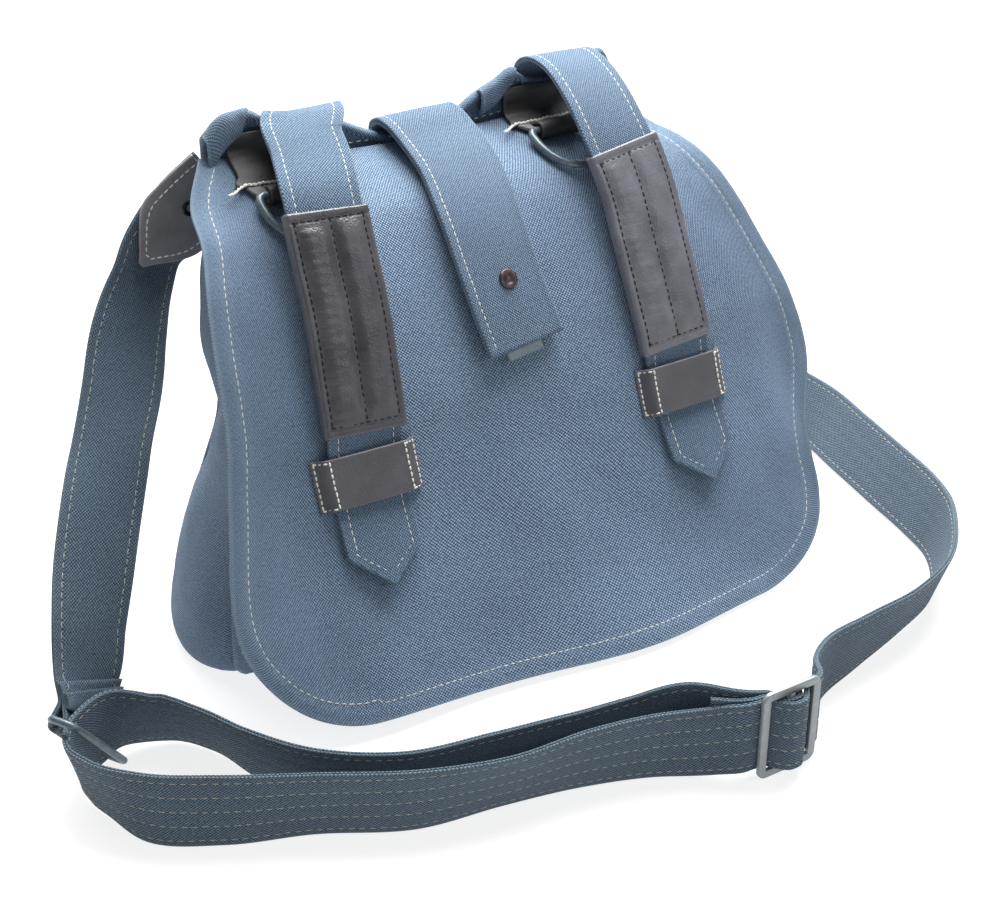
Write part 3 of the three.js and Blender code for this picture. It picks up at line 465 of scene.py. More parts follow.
# Edge of a two-ply band from its upper face to its lower face: inset in millimetres, share of thickness
TWO_PLY_EDGE = ((1.2, 0.5), (0.4, 0.46), (0.05, 0.27), (0.3, 0.08), (0.9, 0.0),
                (0.3, -0.08), (0.05, -0.27), (0.4, -0.46), (1.2, -0.5))
ONE_PLY_EDGE = ((0.9, 0.5), (0.3, 0.43), (0.03, 0.2), (0.0, 0.0), (0.03, -0.2), (0.3, -0.43), (0.9, -0.5))


# Dent under a row of stitches: half its width, its depth
DENT_HALF, DENT_DEPTH = 1.3, 0.22


def band(name, made, width, thick, rows=(), edge=TWO_PLY_EDGE, relief=None, wear_edge=0.8):
    """Flat band along frames with soft edges and a dent under each row of stitches."""
    inner = {s for row in rows for s in (row - DENT_HALF, row, row + DENT_HALF)}
    inner = sorted({0.0} | (inner or {k / 6 for k in (-5, -3.6, -2.2, 2.2, 3.6, 5)}))
    points, uvs, wear = [], [], []
    for f in made:
        half = f["half"] if f["half"] is not None else width / 2
        scale = half / (width / 2)
        levels = [s * scale if rows else s * half for s in inner]
        edge_scale = min(1.0, half / 6)
        upper = [(s, thick / 2 - sum(DENT_DEPTH * near(s, row * scale, 0.9) for row in rows)) for s in levels]
        section = upper + [(half - inset * edge_scale, share * thick) for inset, share in edge]
        section += [(s, -t) for s, t in reversed(upper)]
        section += [(-half + inset * edge_scale, -share * thick) for inset, share in edge]
        for s, t in section:
            points.append(on_band(f, s, t + (relief(s, f["run"]) if relief else 0.0)))
            uvs.append((s + (0 if abs(t) > thick * 0.4 else t), f["run"]))
            wear.append(wear_edge if half - abs(s) < 0.6 else 0.0)
    return from_lists(name, points, tube_faces(len(made), len(section)), uvs, wear)


def wire(name, middles, section, plane, closed=True):
    """Bent wire or flat bar: a section of (outward, up) offsets carried round a flat path."""
    points, uvs = [], []
    total = len(middles)
    run = 0
    for i, p in enumerate(middles):
        a = middles[(i - 1) % total] if closed or i else p
        b = middles[(i + 1) % total] if closed or i < total - 1 else p
        along = (b - a).normalized()
        out = along.cross(plane).normalized()
        run += (p - middles[i - 1]).length if i else 0
        for k, (o, u) in enumerate(section):
            points.append(p + out * o + plane * u)
            uvs.append((k / len(section) * 12, run))
    return from_lists(name, points, tube_faces(total, len(section), closed), uvs)


def round_section(radius, sides=16):
    turns = [2 * math.pi * k / sides for k in range(sides)]
    return [(radius * math.cos(t), radius * math.sin(t)) for t in turns]


def box_section(wide, high, bend, steps=3):
    section = []
    for cx, cy, start in ((1, 1, 0), (-1, 1, 90), (-1, -1, 180), (1, -1, 270)):
        for k in range(steps + 1):
            t = math.radians(start + 90 * k / steps)
            section.append((cx * (wide / 2 - bend) + bend * math.cos(t),
                            cy * (high / 2 - bend) + bend * math.sin(t)))
    return section


def turned(name, profile, at, axis, sides=40):
    """Round head: a profile of (radius, height) turned about its axis."""
    axis = axis.normalized()
    one = axis.orthogonal().normalized()
    two = axis.cross(one)
    points = []
    for radius, height in profile:
        for k in range(sides):
            t = 2 * math.pi * k / sides
            points.append(at + axis * height + (one * math.cos(t) + two * math.sin(t)) * radius)
    return from_lists(name, points, tube_faces(len(profile), sides))


def join(pieces, name):
    plain_select()
    for piece in pieces:
        piece.select_set(True)
    bpy.context.view_layer.objects.active = pieces[0]
    if len(pieces) > 1:
        bpy.ops.object.join()
    pieces[0].name = name
    pieces[0].data.name = name
    return pieces[0]


# One stitch: a short thread whose ends go into the cloth
plain_select()
bpy.ops.mesh.primitive_uv_sphere_add(segments=6, ring_count=5, radius=1)
stitch_model = bpy.context.object
STITCH_POINTS = [v.co.copy() for v in stitch_model.data.vertices]
STITCH_FACES = [tuple(f.vertices) for f in stitch_model.data.polygons]
bpy.data.objects.remove(stitch_model)


STITCH_SINK, STITCH_UNEVEN = 0.05, 0.12


def sew(name, paths, length, gap, radius, thread):
    """Rows of stitches. A path is a list of (point, outward) along the seam."""
    points, faces = [], []
    for path in paths:
        reach = gap
        for (p, n), (q, m) in zip(path, path[1:]):
            stretch = (q - p).length
            if stretch < 1e-6:
                continue
            along = (q - p) / stretch
            while reach <= stretch:
                t = reach / stretch
                out = (n.lerp(m, t)).normalized()
                side = along.cross(out).normalized()
                out = side.cross(along)
                middle = p.lerp(q, t) - out * STITCH_SINK
                middle += side * random.uniform(-1, 1) * STITCH_UNEVEN
                lean = random.uniform(-1, 1) * STITCH_UNEVEN * 0.5
                axis = (along + side * lean).normalized()
                base = len(points)
                half = length / 2 * random.uniform(0.9, 1.06)
                for c in STITCH_POINTS:
                    points.append(middle + axis * c.z * half + side * c.x * radius + out * c.y * radius)
                faces.extend(tuple(base + i for i in f) for f in STITCH_FACES)
                reach += length + gap
            reach -= stretch
    return dress(from_lists(name, points, faces), thread)


def row_path(made, s, thick, first=0, last=None, side_up=1):
    path = []
    for f in made[first:last]:
        half = f["half"]
        offset = s if half is None else max(-half + 3, min(half - 3, s))
        path.append((on_band(f, offset, side_up * thick / 2), f["face"] * side_up))
    return path


# Materials
def hex_colour(code):
    parts = [int(code[i:i + 2], 16) / 255 for i in (1, 3, 5)]
    linear = [p / 12.92 if p <= 0.04045 else ((p + 0.055) / 1.055) ** 2.4 for p in parts]
    return (*linear, 1.0)


def feed(tree, made, links=None, values=None):
    for socket, value in (values or {}).items():
        made.inputs[socket].default_value = value
    for socket, source in (links or {}).items():
        tree.links.new(source, made.inputs[socket])


def node(tree, kind, links=None, values=None, **settings):
    made = tree.nodes.new(kind)
    for name, value in settings.items():
        setattr(made, name, value)
    feed(tree, made, links, values)
    return made


def fresh(name):
    material = bpy.data.materials.new(name)
    material.use_nodes = True
    tree = material.node_tree
    return material, tree, tree.nodes["Principled BSDF"]


# Cotton duck: a thick plain weave whose thread crowns are painted lighter, a painted highlight for the light they
# catch, faded along worn edges.
# Real threads lie about 0.6 mm apart, too fine to show, so they are drawn 1.5 mm apart across
# and 1.8 mm apart down.
WEAVE_ACROSS, WEAVE_DOWN = 1.5, 1.8
SLUB_LENGTH, SLUB_HEIGHT = 14.0, 1.0


def cotton_duck(name, dark, mid, light, worn):
    material, tree, shader = fresh(name)
    uv = node(tree, "ShaderNodeUVMap", uv_map="UVMap")
    spot = node(tree, "ShaderNodeTexCoord")
    slack = node(tree, "ShaderNodeTexNoise", {"Vector": uv.outputs["UV"]},
                 {"Scale": 190.0, "Detail": 2.0, "Roughness": 0.6})
    bent = node(tree, "ShaderNodeVectorMath", {0: slack.outputs["Color"]}, {1: (0.0005, 0.0005, 0)},
                operation="MULTIPLY")
    shifted = node(tree, "ShaderNodeVectorMath", {0: uv.outputs["UV"], 1: bent.outputs[0]}, operation="ADD")
    parts = node(tree, "ShaderNodeSeparateXYZ", {0: shifted.outputs[0]})
    waves = []
    for axis, spacing in (("X", WEAVE_ACROSS), ("Y", WEAVE_DOWN)):
        turn = 2 * math.pi / (spacing * MM)
        angle = node(tree, "ShaderNodeMath", {0: parts.outputs[axis]}, {1: turn}, operation="MULTIPLY")
        waves.append(node(tree, "ShaderNodeMath", {0: angle.outputs[0]}, operation="SINE"))
    crown = node(tree, "ShaderNodeMath", {0: waves[0].outputs[0], 1: waves[1].outputs[0]}, operation="MULTIPLY")
    crown = node(tree, "ShaderNodeMapRange", {"Value": crown.outputs[0]},
                 {"From Min": -0.8, "From Max": 0.8, "To Min": 0.0, "To Max": 1.0})
    fibre = node(tree, "ShaderNodeTexNoise", {"Vector": uv.outputs["UV"]},
                 {"Scale": 700.0, "Detail": 3.0, "Roughness": 0.7})
    drawn = node(tree, "ShaderNodeMapping", {"Vector": uv.outputs["UV"]},
                 {"Scale": (1 / (SLUB_LENGTH * MM), 1 / (SLUB_HEIGHT * MM), 1.0)})
    slub = node(tree, "ShaderNodeTexNoise", {"Vector": drawn.outputs[0]},
                {"Scale": 1.0, "Detail": 2.0, "Roughness": 0.6})
    cloud = node(tree, "ShaderNodeTexNoise", {"Vector": spot.outputs["Object"]},
                 {"Scale": 17.0, "Detail": 5.0, "Roughness": 0.62})
    uneven = node(tree, "ShaderNodeMath", {0: cloud.outputs["Fac"], 1: slub.outputs["Fac"]}, operation="ADD")
    patch = node(tree, "ShaderNodeMapRange", {"Value": uneven.outputs[0]},
                 {"From Min": 0.72, "From Max": 1.28, "To Min": 0.0, "To Max": 1.0})
    body = node(tree, "ShaderNodeMix", {"Factor": patch.outputs[0]},
                {"A": hex_colour(dark), "B": hex_colour(mid)}, data_type="RGBA")
    # Painted highlight: the thread crowns are mixed towards the third, pale colour as if lit
    thread = node(tree, "ShaderNodeMath", {0: crown.outputs[0], 1: fibre.outputs["Fac"]}, operation="MULTIPLY")
    lit = node(tree, "ShaderNodeMapRange", {"Value": thread.outputs[0]},
               {"From Min": 0.1, "From Max": 0.5, "To Min": 0.0, "To Max": 0.95})
    woven = node(tree, "ShaderNodeMix", {"Factor": lit.outputs[0], "A": body.outputs["Result"]},
                 {"B": hex_colour(light)}, data_type="RGBA")
    wear = node(tree, "ShaderNodeAttribute", attribute_name="wear")
    rub = node(tree, "ShaderNodeMath", {0: wear.outputs["Fac"], 1: fibre.outputs["Fac"]}, operation="MULTIPLY")
    faded = node(tree, "ShaderNodeMix", {"Factor": rub.outputs[0], "A": woven.outputs["Result"]},
                 {"B": hex_colour(worn)}, data_type="RGBA")
    height = node(tree, "ShaderNodeMath", {0: crown.outputs[0], 1: fibre.outputs["Fac"]}, operation="ADD")
    bump = node(tree, "ShaderNodeBump", {"Height": height.outputs[0]}, {"Strength": 0.7, "Distance": 0.0006})
    feed(tree, shader, {"Base Color": faded.outputs["Result"], "Normal": bump.outputs[0]},
         {"Roughness": 0.92, "IOR": 1.45, "Sheen Weight": 0.06, "Sheen Roughness": 0.5})
    return material


# Smooth hide, dyed through and waxed: fine pores, soft creases and a broad satin highlight
def dyed_hide(name, dark, light, rough, crease, worn):
    material, tree, shader = fresh(name)
    spot = node(tree, "ShaderNodeTexCoord")
    pores = node(tree, "ShaderNodeTexVoronoi", {"Vector": spot.outputs["Object"]}, {"Scale": 900.0})
    folds = node(tree, "ShaderNodeTexNoise", {"Vector": spot.outputs["Object"]},
                 {"Scale": 220.0, "Detail": 6.0, "Roughness": 0.65, "Distortion": 1.2})
    cloud = node(tree, "ShaderNodeTexNoise", {"Vector": spot.outputs["Object"]},
                 {"Scale": 55.0, "Detail": 4.0, "Roughness": 0.6})
    tone = node(tree, "ShaderNodeMapRange", {"Value": cloud.outputs["Fac"]},
                {"From Min": 0.3, "From Max": 0.7, "To Min": 0.0, "To Max": 1.0})
    body = node(tree, "ShaderNodeMix", {"Factor": tone.outputs[0]},
                {"A": hex_colour(dark), "B": hex_colour(light)}, data_type="RGBA")
    wear = node(tree, "ShaderNodeAttribute", attribute_name="wear")
    rub = node(tree, "ShaderNodeMath", {0: wear.outputs["Fac"], 1: folds.outputs["Fac"]}, operation="MULTIPLY")
    faded = node(tree, "ShaderNodeMix", {"Factor": rub.outputs[0], "A": body.outputs["Result"]},
                 {"B": hex_colour(worn)}, data_type="RGBA")
    gloss = node(tree, "ShaderNodeMapRange", {"Value": cloud.outputs["Fac"]},
                 {"From Min": 0.3, "From Max": 0.7, "To Min": rough - 0.07, "To Max": rough + 0.07})
    height = node(tree, "ShaderNodeMath", {0: folds.outputs["Fac"]}, {1: crease}, operation="MULTIPLY")
    height = node(tree, "ShaderNodeMath", {0: height.outputs[0], 1: pores.outputs["Distance"]}, operation="ADD")
    bump = node(tree, "ShaderNodeBump", {"Height": height.outputs[0]}, {"Strength": 0.35, "Distance": 0.0004})
    feed(tree, shader, {"Base Color": faded.outputs["Result"], "Roughness": gloss.outputs[0],
                        "Normal": bump.outputs[0]}, {"IOR": 1.62})
    return material


# Steel under worn grey-blue paint: satin, with thin brighter rubs
def painted_steel(name, paint, rubbed, rough, metal=0.35):
    material, tree, shader = fresh(name)
    spot = node(tree, "ShaderNodeTexCoord")
    rubs = node(tree, "ShaderNodeTexNoise", {"Vector": spot.outputs["Object"]},
                {"Scale": 260.0, "Detail": 5.0, "Roughness": 0.7})
    share = node(tree, "ShaderNodeMapRange", {"Value": rubs.outputs["Fac"]},
                 {"From Min": 0.5, "From Max": 0.75, "To Min": 0.0, "To Max": 0.8})
    body = node(tree, "ShaderNodeMix", {"Factor": share.outputs[0]},
                {"A": hex_colour(paint), "B": hex_colour(rubbed)}, data_type="RGBA")
    gloss = node(tree, "ShaderNodeMapRange", {"Value": rubs.outputs["Fac"]},
                 {"From Min": 0.3, "From Max": 0.7, "To Min": rough - 0.08, "To Max": rough + 0.1})
    bump = node(tree, "ShaderNodeBump", {"Height": rubs.outputs["Fac"]}, {"Strength": 0.12, "Distance": 0.0002})
    feed(tree, shader, {"Base Color": body.outputs["Result"], "Roughness": gloss.outputs[0],
                        "Normal": bump.outputs[0]}, {"Metallic": metal})
    return material


# Waxed linen thread: matte, slightly uneven in tone
def linen_thread(name, dark, light):
    material, tree, shader = fresh(name)
    spot = node(tree, "ShaderNodeTexCoord")
    fluff = node(tree, "ShaderNodeTexNoise", {"Vector": spot.outputs["Object"]},
                 {"Scale": 420.0, "Detail": 4.0, "Roughness": 0.7})
    body = node(tree, "ShaderNodeMix", {"Factor": fluff.outputs["Fac"]},
                {"A": hex_colour(dark), "B": hex_colour(light)}, data_type="RGBA")
    feed(tree, shader, {"Base Color": body.outputs["Result"]}, {"Roughness": 0.85})
    return material


# Each cloth's third colour is the painted highlight on its thread crowns
duck = cotton_duck("blue-grey cotton duck", "#28394f", "#3b506a", "#96afc8", "#8fa5b8")
# Painted shade: a darker copy of the same blue-grey duck for the loops, centre tab, rim and its folds, standing in
# for shade on them
shade_darkened_duck = cotton_duck("blue-grey duck darkened for shade", "#27364a", "#384b62", "#7b93a9", "#7d92a3")
strap_duck = cotton_duck("blue-grey strap duck", "#1f2a34", "#2d3a47", "#687d8f", "#67777f")
sleeve_hide = dyed_hide("black-brown waxed hide", "#2e2e33", "#434349", 0.4, 0.9, "#7e7e87")
grey_hide = dyed_hide("grey-black waxed hide", "#4a4a52", "#65656e", 0.41, 0.8, "#8c8c96")
keeper_hide = dyed_hide("charcoal matt hide", "#3b3b40", "#4d4d53", 0.48, 0.7, "#77777e")
# Painted light: a lighter hide for the strap ends, which lie at the bag's back and get little light
shade_lightened_hide = dyed_hide("grey hide lightened against shade", "#67676b", "#818186", 0.47, 0.8, "#98989d")
tab_hide = dyed_hide("rough dark hide", "#111113", "#1e1d1f", 0.62, 1.2, "#3a3836")
raw_hide = dyed_hide("grey split hide", "#5b5b5c", "#7d7c7b", 0.85, 1.6, "#96958f")
grey_steel = painted_steel("grey-blue painted steel", "#57646c", "#7c878d", 0.3)
slider_steel = painted_steel("light grey painted steel", "#878d91", "#a2a8ab", 0.4)
copper = painted_steel("dull coppered steel", "#453b3e", "#7d6a68", 0.34, 0.8)
black_steel = painted_steel("black lacquered steel", "#101012", "#26262a", 0.3)
pale_thread = linen_thread("pale linen thread", "#bfc1b4", "#e4e3d6")
strap_thread = linen_thread("dull linen thread", "#83897f", "#aeb1a4")
white_thread = linen_thread("white linen thread", "#d0cfc6", "#efede3")
black_thread = linen_thread("black linen thread", "#0b0a0b", "#1c1a1b")


# Flap
def flap_spot(s, t):
    u = math.sin(math.pi / 2 * (2 * s - 1) * 0.9) / math.sin(math.pi / 2 * 0.9)
    straight = 1 - FLAP_CORNER / FLAP_HALF
    edge = max(0, (abs(u) - straight) / (1 - straight))
    lift = FLAP_CORNER * (1 - math.sqrt(1 - min(1, edge) ** 2))
    down = t * FLAP_LENGTH - (lift + FLAP_SLANT * max(0, -u)) * t ** 3
    row = flap_row(down)
    return row["shift"] + u * row["half"], down


def flap_wear(s, t):
    edge = flap_edge(*flap_spot(s, t))
    return 0.9 * (1 - ease(edge, 0, 2.5)) + 0.25 * near(edge, 9, 2.5)


flap = sheet("flap_cloth", 150, 130, lambda s, t: flap_point(*flap_spot(s, t)), (356, 300), CANVAS, flap_wear)
dress(flap, duck, ["flap"])

# Row of stitches 9 mm inside the flap's edge
HEM = 9
hem_path = []


def hem_stitch(x, down):
    hem_path.append((flap_point(x, down, CANVAS / 2), flap_normal(x, down)))


def hem_side(hand, downs):
    for down in downs:
        row = flap_row(down)
        hem_stitch(row["shift"] + hand * (row["half"] - HEM), down)


left_end = FLAP_LENGTH - FLAP_SLANT
hem_side(-1, [6 + (left_end - FLAP_CORNER - 6) * k / 120 for k in range(120)])
for hand, end, turns in ((-1, left_end, range(0, 25)), (1, FLAP_LENGTH, range(24, -1, -1))):
    for k in turns:
        angle = math.pi / 2 * k / 24
        down = end - FLAP_CORNER + (FLAP_CORNER - HEM) * math.sin(angle)
        row = flap_row(down)
        hem_stitch(row["shift"] + hand * (row["half"] - FLAP_CORNER + (FLAP_CORNER - HEM) * math.cos(angle)), down)
    if hand < 0:
        for k in range(1, 100):
            x = -120 + 236 * k / 100
            hem_stitch(x, FLAP_LENGTH - HEM - FLAP_SLANT * max(0, -x / FLAP_HALF))
hem_side(1, [6 + (FLAP_LENGTH - FLAP_CORNER - 6) * k / 120 for k in range(119, -1, -1)])
sew("flap_stitches", [hem_path], 2.9, 0.9, 0.3, pale_thread)


# Pouch
def pouch_outline(column, extra):
    points = []
    foot = lookup(POUCH_ROWS, "z", CORNER_RISE)[column]
    for k in range(9):
        turn = math.pi / 2 * k / 8
        radius = CORNER_RADIUS + extra
        points.append((foot - CORNER_RADIUS + radius * math.sin(turn), CORNER_RISE - radius * math.cos(turn)))
    z = CORNER_RISE + 5
    while z < POUCH_TOP:
        points.append((lookup(POUCH_ROWS, "z", z)[column] + extra, z))
        z += 5
    points.append((lookup(POUCH_ROWS, "z", POUCH_TOP)[column] + extra, POUCH_TOP))
    return points


def panel_point(outline, depth):
    def point(s, t):
        place_on = (1 - t) * (len(outline) - 1)
        i = min(int(place_on), len(outline) - 2)
        part = place_on - i
        half = outline[i][0] + (outline[i + 1][0] - outline[i][0]) * part
        z = outline[i][1] + (outline[i + 1][1] - outline[i][1]) * part
        u = 2 * s - 1
        row = lookup(POUCH_ROWS, "z", z)
        return Vector((u * half, depth(row, u, z), z))
    return point


front_outline = pouch_outline("half", 1)[2:]
back_outline = pouch_outline("rear", 1)[2:]
for z in (210, 217, 224, BACK_TOP):
    back_outline.append((lookup(POUCH_ROWS, "z", z)["rear"] + 1, z))


def front_depth(row, u, z):
    wave = 1.6 * ripple(u * 150, z, 48, 2.2) * (1 - abs(u) ** 3) * ease(z, 0, 20)
    return row["front"] - row["belly"] * (1 - abs(u) ** 2.4) + wave


def back_depth(row, u, z):
    sag = 0.9 * ripple(u * 140, z, 60, 6.4) + 0.5 * ripple(u * 140, z, 23, 1.9)
    return row["back"] + sag * (1 - abs(u) ** 4) * ease(z, 4, 30) * (1 - ease(z, 195, 215))


front = sheet("pouch_front", 60, 60, panel_point(front_outline, front_depth), (322, 215))
dress(front, duck, ["front_panel"])
back = sheet("pouch_back", 60, 70, panel_point(back_outline, back_depth), (300, 230))
dress(back, duck, ["back_panel"])

side_line = pouch_outline("half", 0)
rear_line = pouch_outline("rear", 0)
gusset_line = [(-h, -r[0], z) for (h, z), r in zip(reversed(side_line), reversed(rear_line))]
for k in range(-11, 12):
    gusset_line.append((k / 12 * side_line[0][0], k / 12 * rear_line[0][0], 1))
gusset_line += [(h, r[0], z) for (h, z), r in zip(side_line, rear_line)]
gusset_line = [(x, r, max(z, 1)) for x, r, z in gusset_line]


def gusset_point(s, t):
    spot = t * (len(gusset_line) - 1)
    i = min(int(spot), len(gusset_line) - 2)
    part = spot - i
    low, high = gusset_line[i], gusset_line[i + 1]
    x, rear, z = (low[k] + (high[k] - low[k]) * part for k in range(3))
    ahead = gusset_line[min(i + 2, len(gusset_line) - 1)]
    behind = gusset_line[max(i - 1, 0)]
    out = Vector((ahead[2] - behind[2], 0, 0.3 * (behind[0] - ahead[0]))).normalized()
    row = lookup(POUCH_ROWS, "z", z)
    y = row["front"] + 2.3 + (row["back"] - row["front"] - 4.6) * s
    bulge = 0 if z < 1.5 else row["side"] * min(1, (z - 1) / 5)
    arch = (4 * s * (1 - s)) ** (0.55 + 0.45 * ease(z, 12, 55))
    free = arch * ease(z, 6, 30)
    fold = 2.2 * ripple(y, z, 30, 4.4 + math.copysign(3, x)) + 0.9 * ripple(y, z, 12, 2.6)
    fold += 2.4 * near(z, 128 - 0.35 * (y + 40), 7) - 2.8 * near(z, 112 - 0.35 * (y + 40), 6)
    fold += 1.6 * near(z, 36 + 0.3 * y, 6) * near(y, -20, 22)
    swell = bulge * arch + fold * free
    p = Vector((x + (rear - x) * s, y, z)) + out * swell
    p.z = max(p.z, 1.1)
    return p


gusset = sheet("pouch_gusset", 26, 170, gusset_point, (88, 710))
dress(gusset, duck, ["gusset"])


# Turned seams along the pouch's front and back edges
def seam_cord(name, outline, depth, radius):
    line = [(-h, z) for h, z in reversed(outline)]
    foot = outline[0][0]
    line += [(foot * k / 14, outline[0][1]) for k in range(-13, 14)]
    line += list(outline)
    middles = [Vector((x, depth(z), max(z, radius + 0.2))) for x, z in line]
    points, uvs = [], []
    run = 0
    sides = 8
    for i, p in enumerate(middles):
        along = (middles[min(i + 1, len(middles) - 1)] - middles[max(i - 1, 0)]).normalized()
        side = Vector((0, -1, 0))
        side = (side - along * side.dot(along)).normalized()
        up = along.cross(side)
        run += (p - middles[i - 1]).length if i else 0
        for k in range(sides):
            t = 2 * math.pi * k / sides
            points.append(p + side * math.cos(t) * radius * 0.8 + up * math.sin(t) * radius)
            uvs.append((k, run))
    piece = from_lists(name, points, tube_faces(len(middles), sides), uvs, [0.5] * len(points))
    return dress(piece, duck)


seam_cord("pouch_front_seam", front_outline, lambda z: lookup(POUCH_ROWS, "z", z)["front"] + 0.6, 1.7)
seam_cord("pouch_back_seam", back_outline[:-4], lambda z: lookup(POUCH_ROWS, "z", z)["back"] - 0.6, 1.7)


# Rim: doubled cloth that stands behind the flap's seam, with a rolled top
# Section from the front foot over the roll to the back foot: out to the back, height below the top
RIM_SECTION = ((-1.6, None), (-1.5, -12), (-1.4, -6.2), (-1.9, -5.2), (-3.0, -4.4), (-3.5, -2.8), (-3.0, -1.1),
               (-1.6, -0.2), (0.2, 0.0), (1.8, -0.6), (2.5, -2.2), (2.5, -6), (2.4, -12), (2.3, None))
rim_points, rim_uvs, rim_wear = [], [], []
RIM_COLUMNS = 161
for k in range(RIM_COLUMNS):
    x = -RIM_HALF + 2 * RIM_HALF * k / (RIM_COLUMNS - 1)
    row = lookup(RIM_ROWS, "x", x)
    tall = row["top"] - RIM_FOOT
    for i, (out, below) in enumerate(RIM_SECTION):
        from_end = i if i < 7 else len(RIM_SECTION) - i
        z = RIM_FOOT if below is None else max(RIM_FOOT + 0.3 * from_end, row["top"] + below)
        lean = row["lean"] * (z - RIM_FOOT) / tall
        wave = 0.7 * ripple(x, z, 16, 3.0) * ease(z, RIM_FOOT, RIM_FOOT + 10)
        rim_points.append(Vector((x, RIM_Y + out - 0.8 * lean + wave, z)))
        rim_uvs.append((x, z + out))
        rim_wear.append(0.5 if below is not None and below > -1.5 else 0.0)
rim = from_lists("rim_cloth", rim_points, tube_faces(RIM_COLUMNS, len(RIM_SECTION)), rim_uvs, rim_wear)
dress(rim, shade_darkened_duck, ["rim"])

# Folded ears of the rim: cloth that turns over the top and curls down in front of it
EAR_ROWS = table("y z", (46.5, -4), (45, -0.8), (42.4, 0.5), (39.8, -1.2), (38.2, -5.5), (38.4, -11),
                 (40.2, -15.5), (43.2, -16.5))


def ear(name, left, right, size, slant):
    def point(s, t):
        i = min(int(t * (len(EAR_ROWS) - 1)), len(EAR_ROWS) - 2)
        row = between(EAR_ROWS, i, t * (len(EAR_ROWS) - 1) - i)
        x = left + (right - left - slant * t) * s
        shrink = size * (1 - 0.3 * s * s)
        y = 45.5 + (row["y"] - 45.5) * shrink
        crumple = 0.9 * ripple(x, t * 30, 8, 4.2) * ease(t, 0.1, 0.4)
        return Vector((x, y - crumple, lookup(RIM_ROWS, "x", x)["top"] + row["z"] * shrink + 0.4 * crumple))

    piece = sheet(name, 24, 40, point, (right - left, 36), 2.2, lambda s, t: 0.8 if s < 0.06 else 0.25)
    return dress(piece, shade_darkened_duck)


ear("rim_fold_left", -121.5, -94, 1.0, 11)
ear("rim_fold_right", 36, 60, 0.68, 5)

seam_path = []
for k in range(121):
    x = -117 + 234 * k / 120
    p = flap_base(x, 0)
    rise = 3.2 + 0.4 * ripple(x, 0, 20)
    seam_path.append((Vector((x, RIM_Y - RIM_THICK / 2 - 0.1, p.z + rise)), Vector((0, -1, 0.1))))
sew("rim_stitches", [seam_path], 2.9, 1.8, 0.36, white_thread)


# Belt loops
def loop_frames(hand):
    rows = [{"x": hand * r["x"] + r["lean"], "y": r["y"], "z": r["z"]} for r in LOOP_TOP_ROWS]
    if hand < 0:
        # The left loop sags, and its back leans to the right
        for r in rows:
            r["z"] -= 4.5 * ease(r["z"], 238, 254)
            r["x"] += 3.5 * ease(r["y"], 24, 48)
    for r in LOOP_LOW_ROWS:
        rows.append(row_at(above(hand * r["x"], r["down"], r["rise"])))
    samples = sampled(rows, LOOP_STEP)
    for s in samples:
        # The right loop's arch twists, its left edge higher than its right
        twist = LOOP_TWIST * near(s["y"], 18, 22) * ease(s["z"], 235, 250) if hand > 0 else 0
        s["z"] += twist * LOOP_WIDTH / 2
        s.update(sx=1, sy=0, sz=-twist)
    return frames(samples)


LOOP_STEP, LOOP_TWIST, LOOP_SEAM, TIP_LENGTH = 1.0, 0.07, 15, 17
loops = {}
for side, hand in (("left", -1), ("right", 1)):
    made = loop_frames(hand)
    total = made[-1]["run"]
    for f in made:
        f["half"] = max(1.5, min(1, (total - f["run"]) / TIP_LENGTH) * LOOP_WIDTH / 2)
    loops[side] = made
    piece = band(f"belt_loop_cloth_{side}", made, LOOP_WIDTH, LOOP_THICK, rows=(-LOOP_SEAM, LOOP_SEAM),
                 relief=lambda s, run: 0.3 * ripple(s, run, 18, 2.0))
    dress(piece, shade_darkened_duck, [f"belt_loop_{side}"])
    paths = []
    for s in (-1, 1):
        path = []
        for f in made:
            if total - f["run"] < 7:
                break
            inset = max(0, (total - f["run"] - 6.5) / TIP_LENGTH * LOOP_WIDTH / 2 + 1.5)
            offset = s * min(LOOP_SEAM, inset)
            lift = 0.3 * ripple(offset, f["run"], 18, 2.0)
            path.append(sewn_at(f, offset, LOOP_THICK / 2 + lift - 0.2))
        paths.append(path)
    for s in (8, 12):
        f = made[int(s / LOOP_STEP)]
        paths.append([sewn_at(f, LOOP_SEAM * (2 * k / 13 - 1), LOOP_THICK / 2) for k in range(14)])
    sew(f"belt_loop_stitches_{side}", paths, 3.0, 0.8, 0.3, pale_thread)


# Leather sleeves round the loops, with creases pulled in from the seam
CREASE_SPACING = 4.8


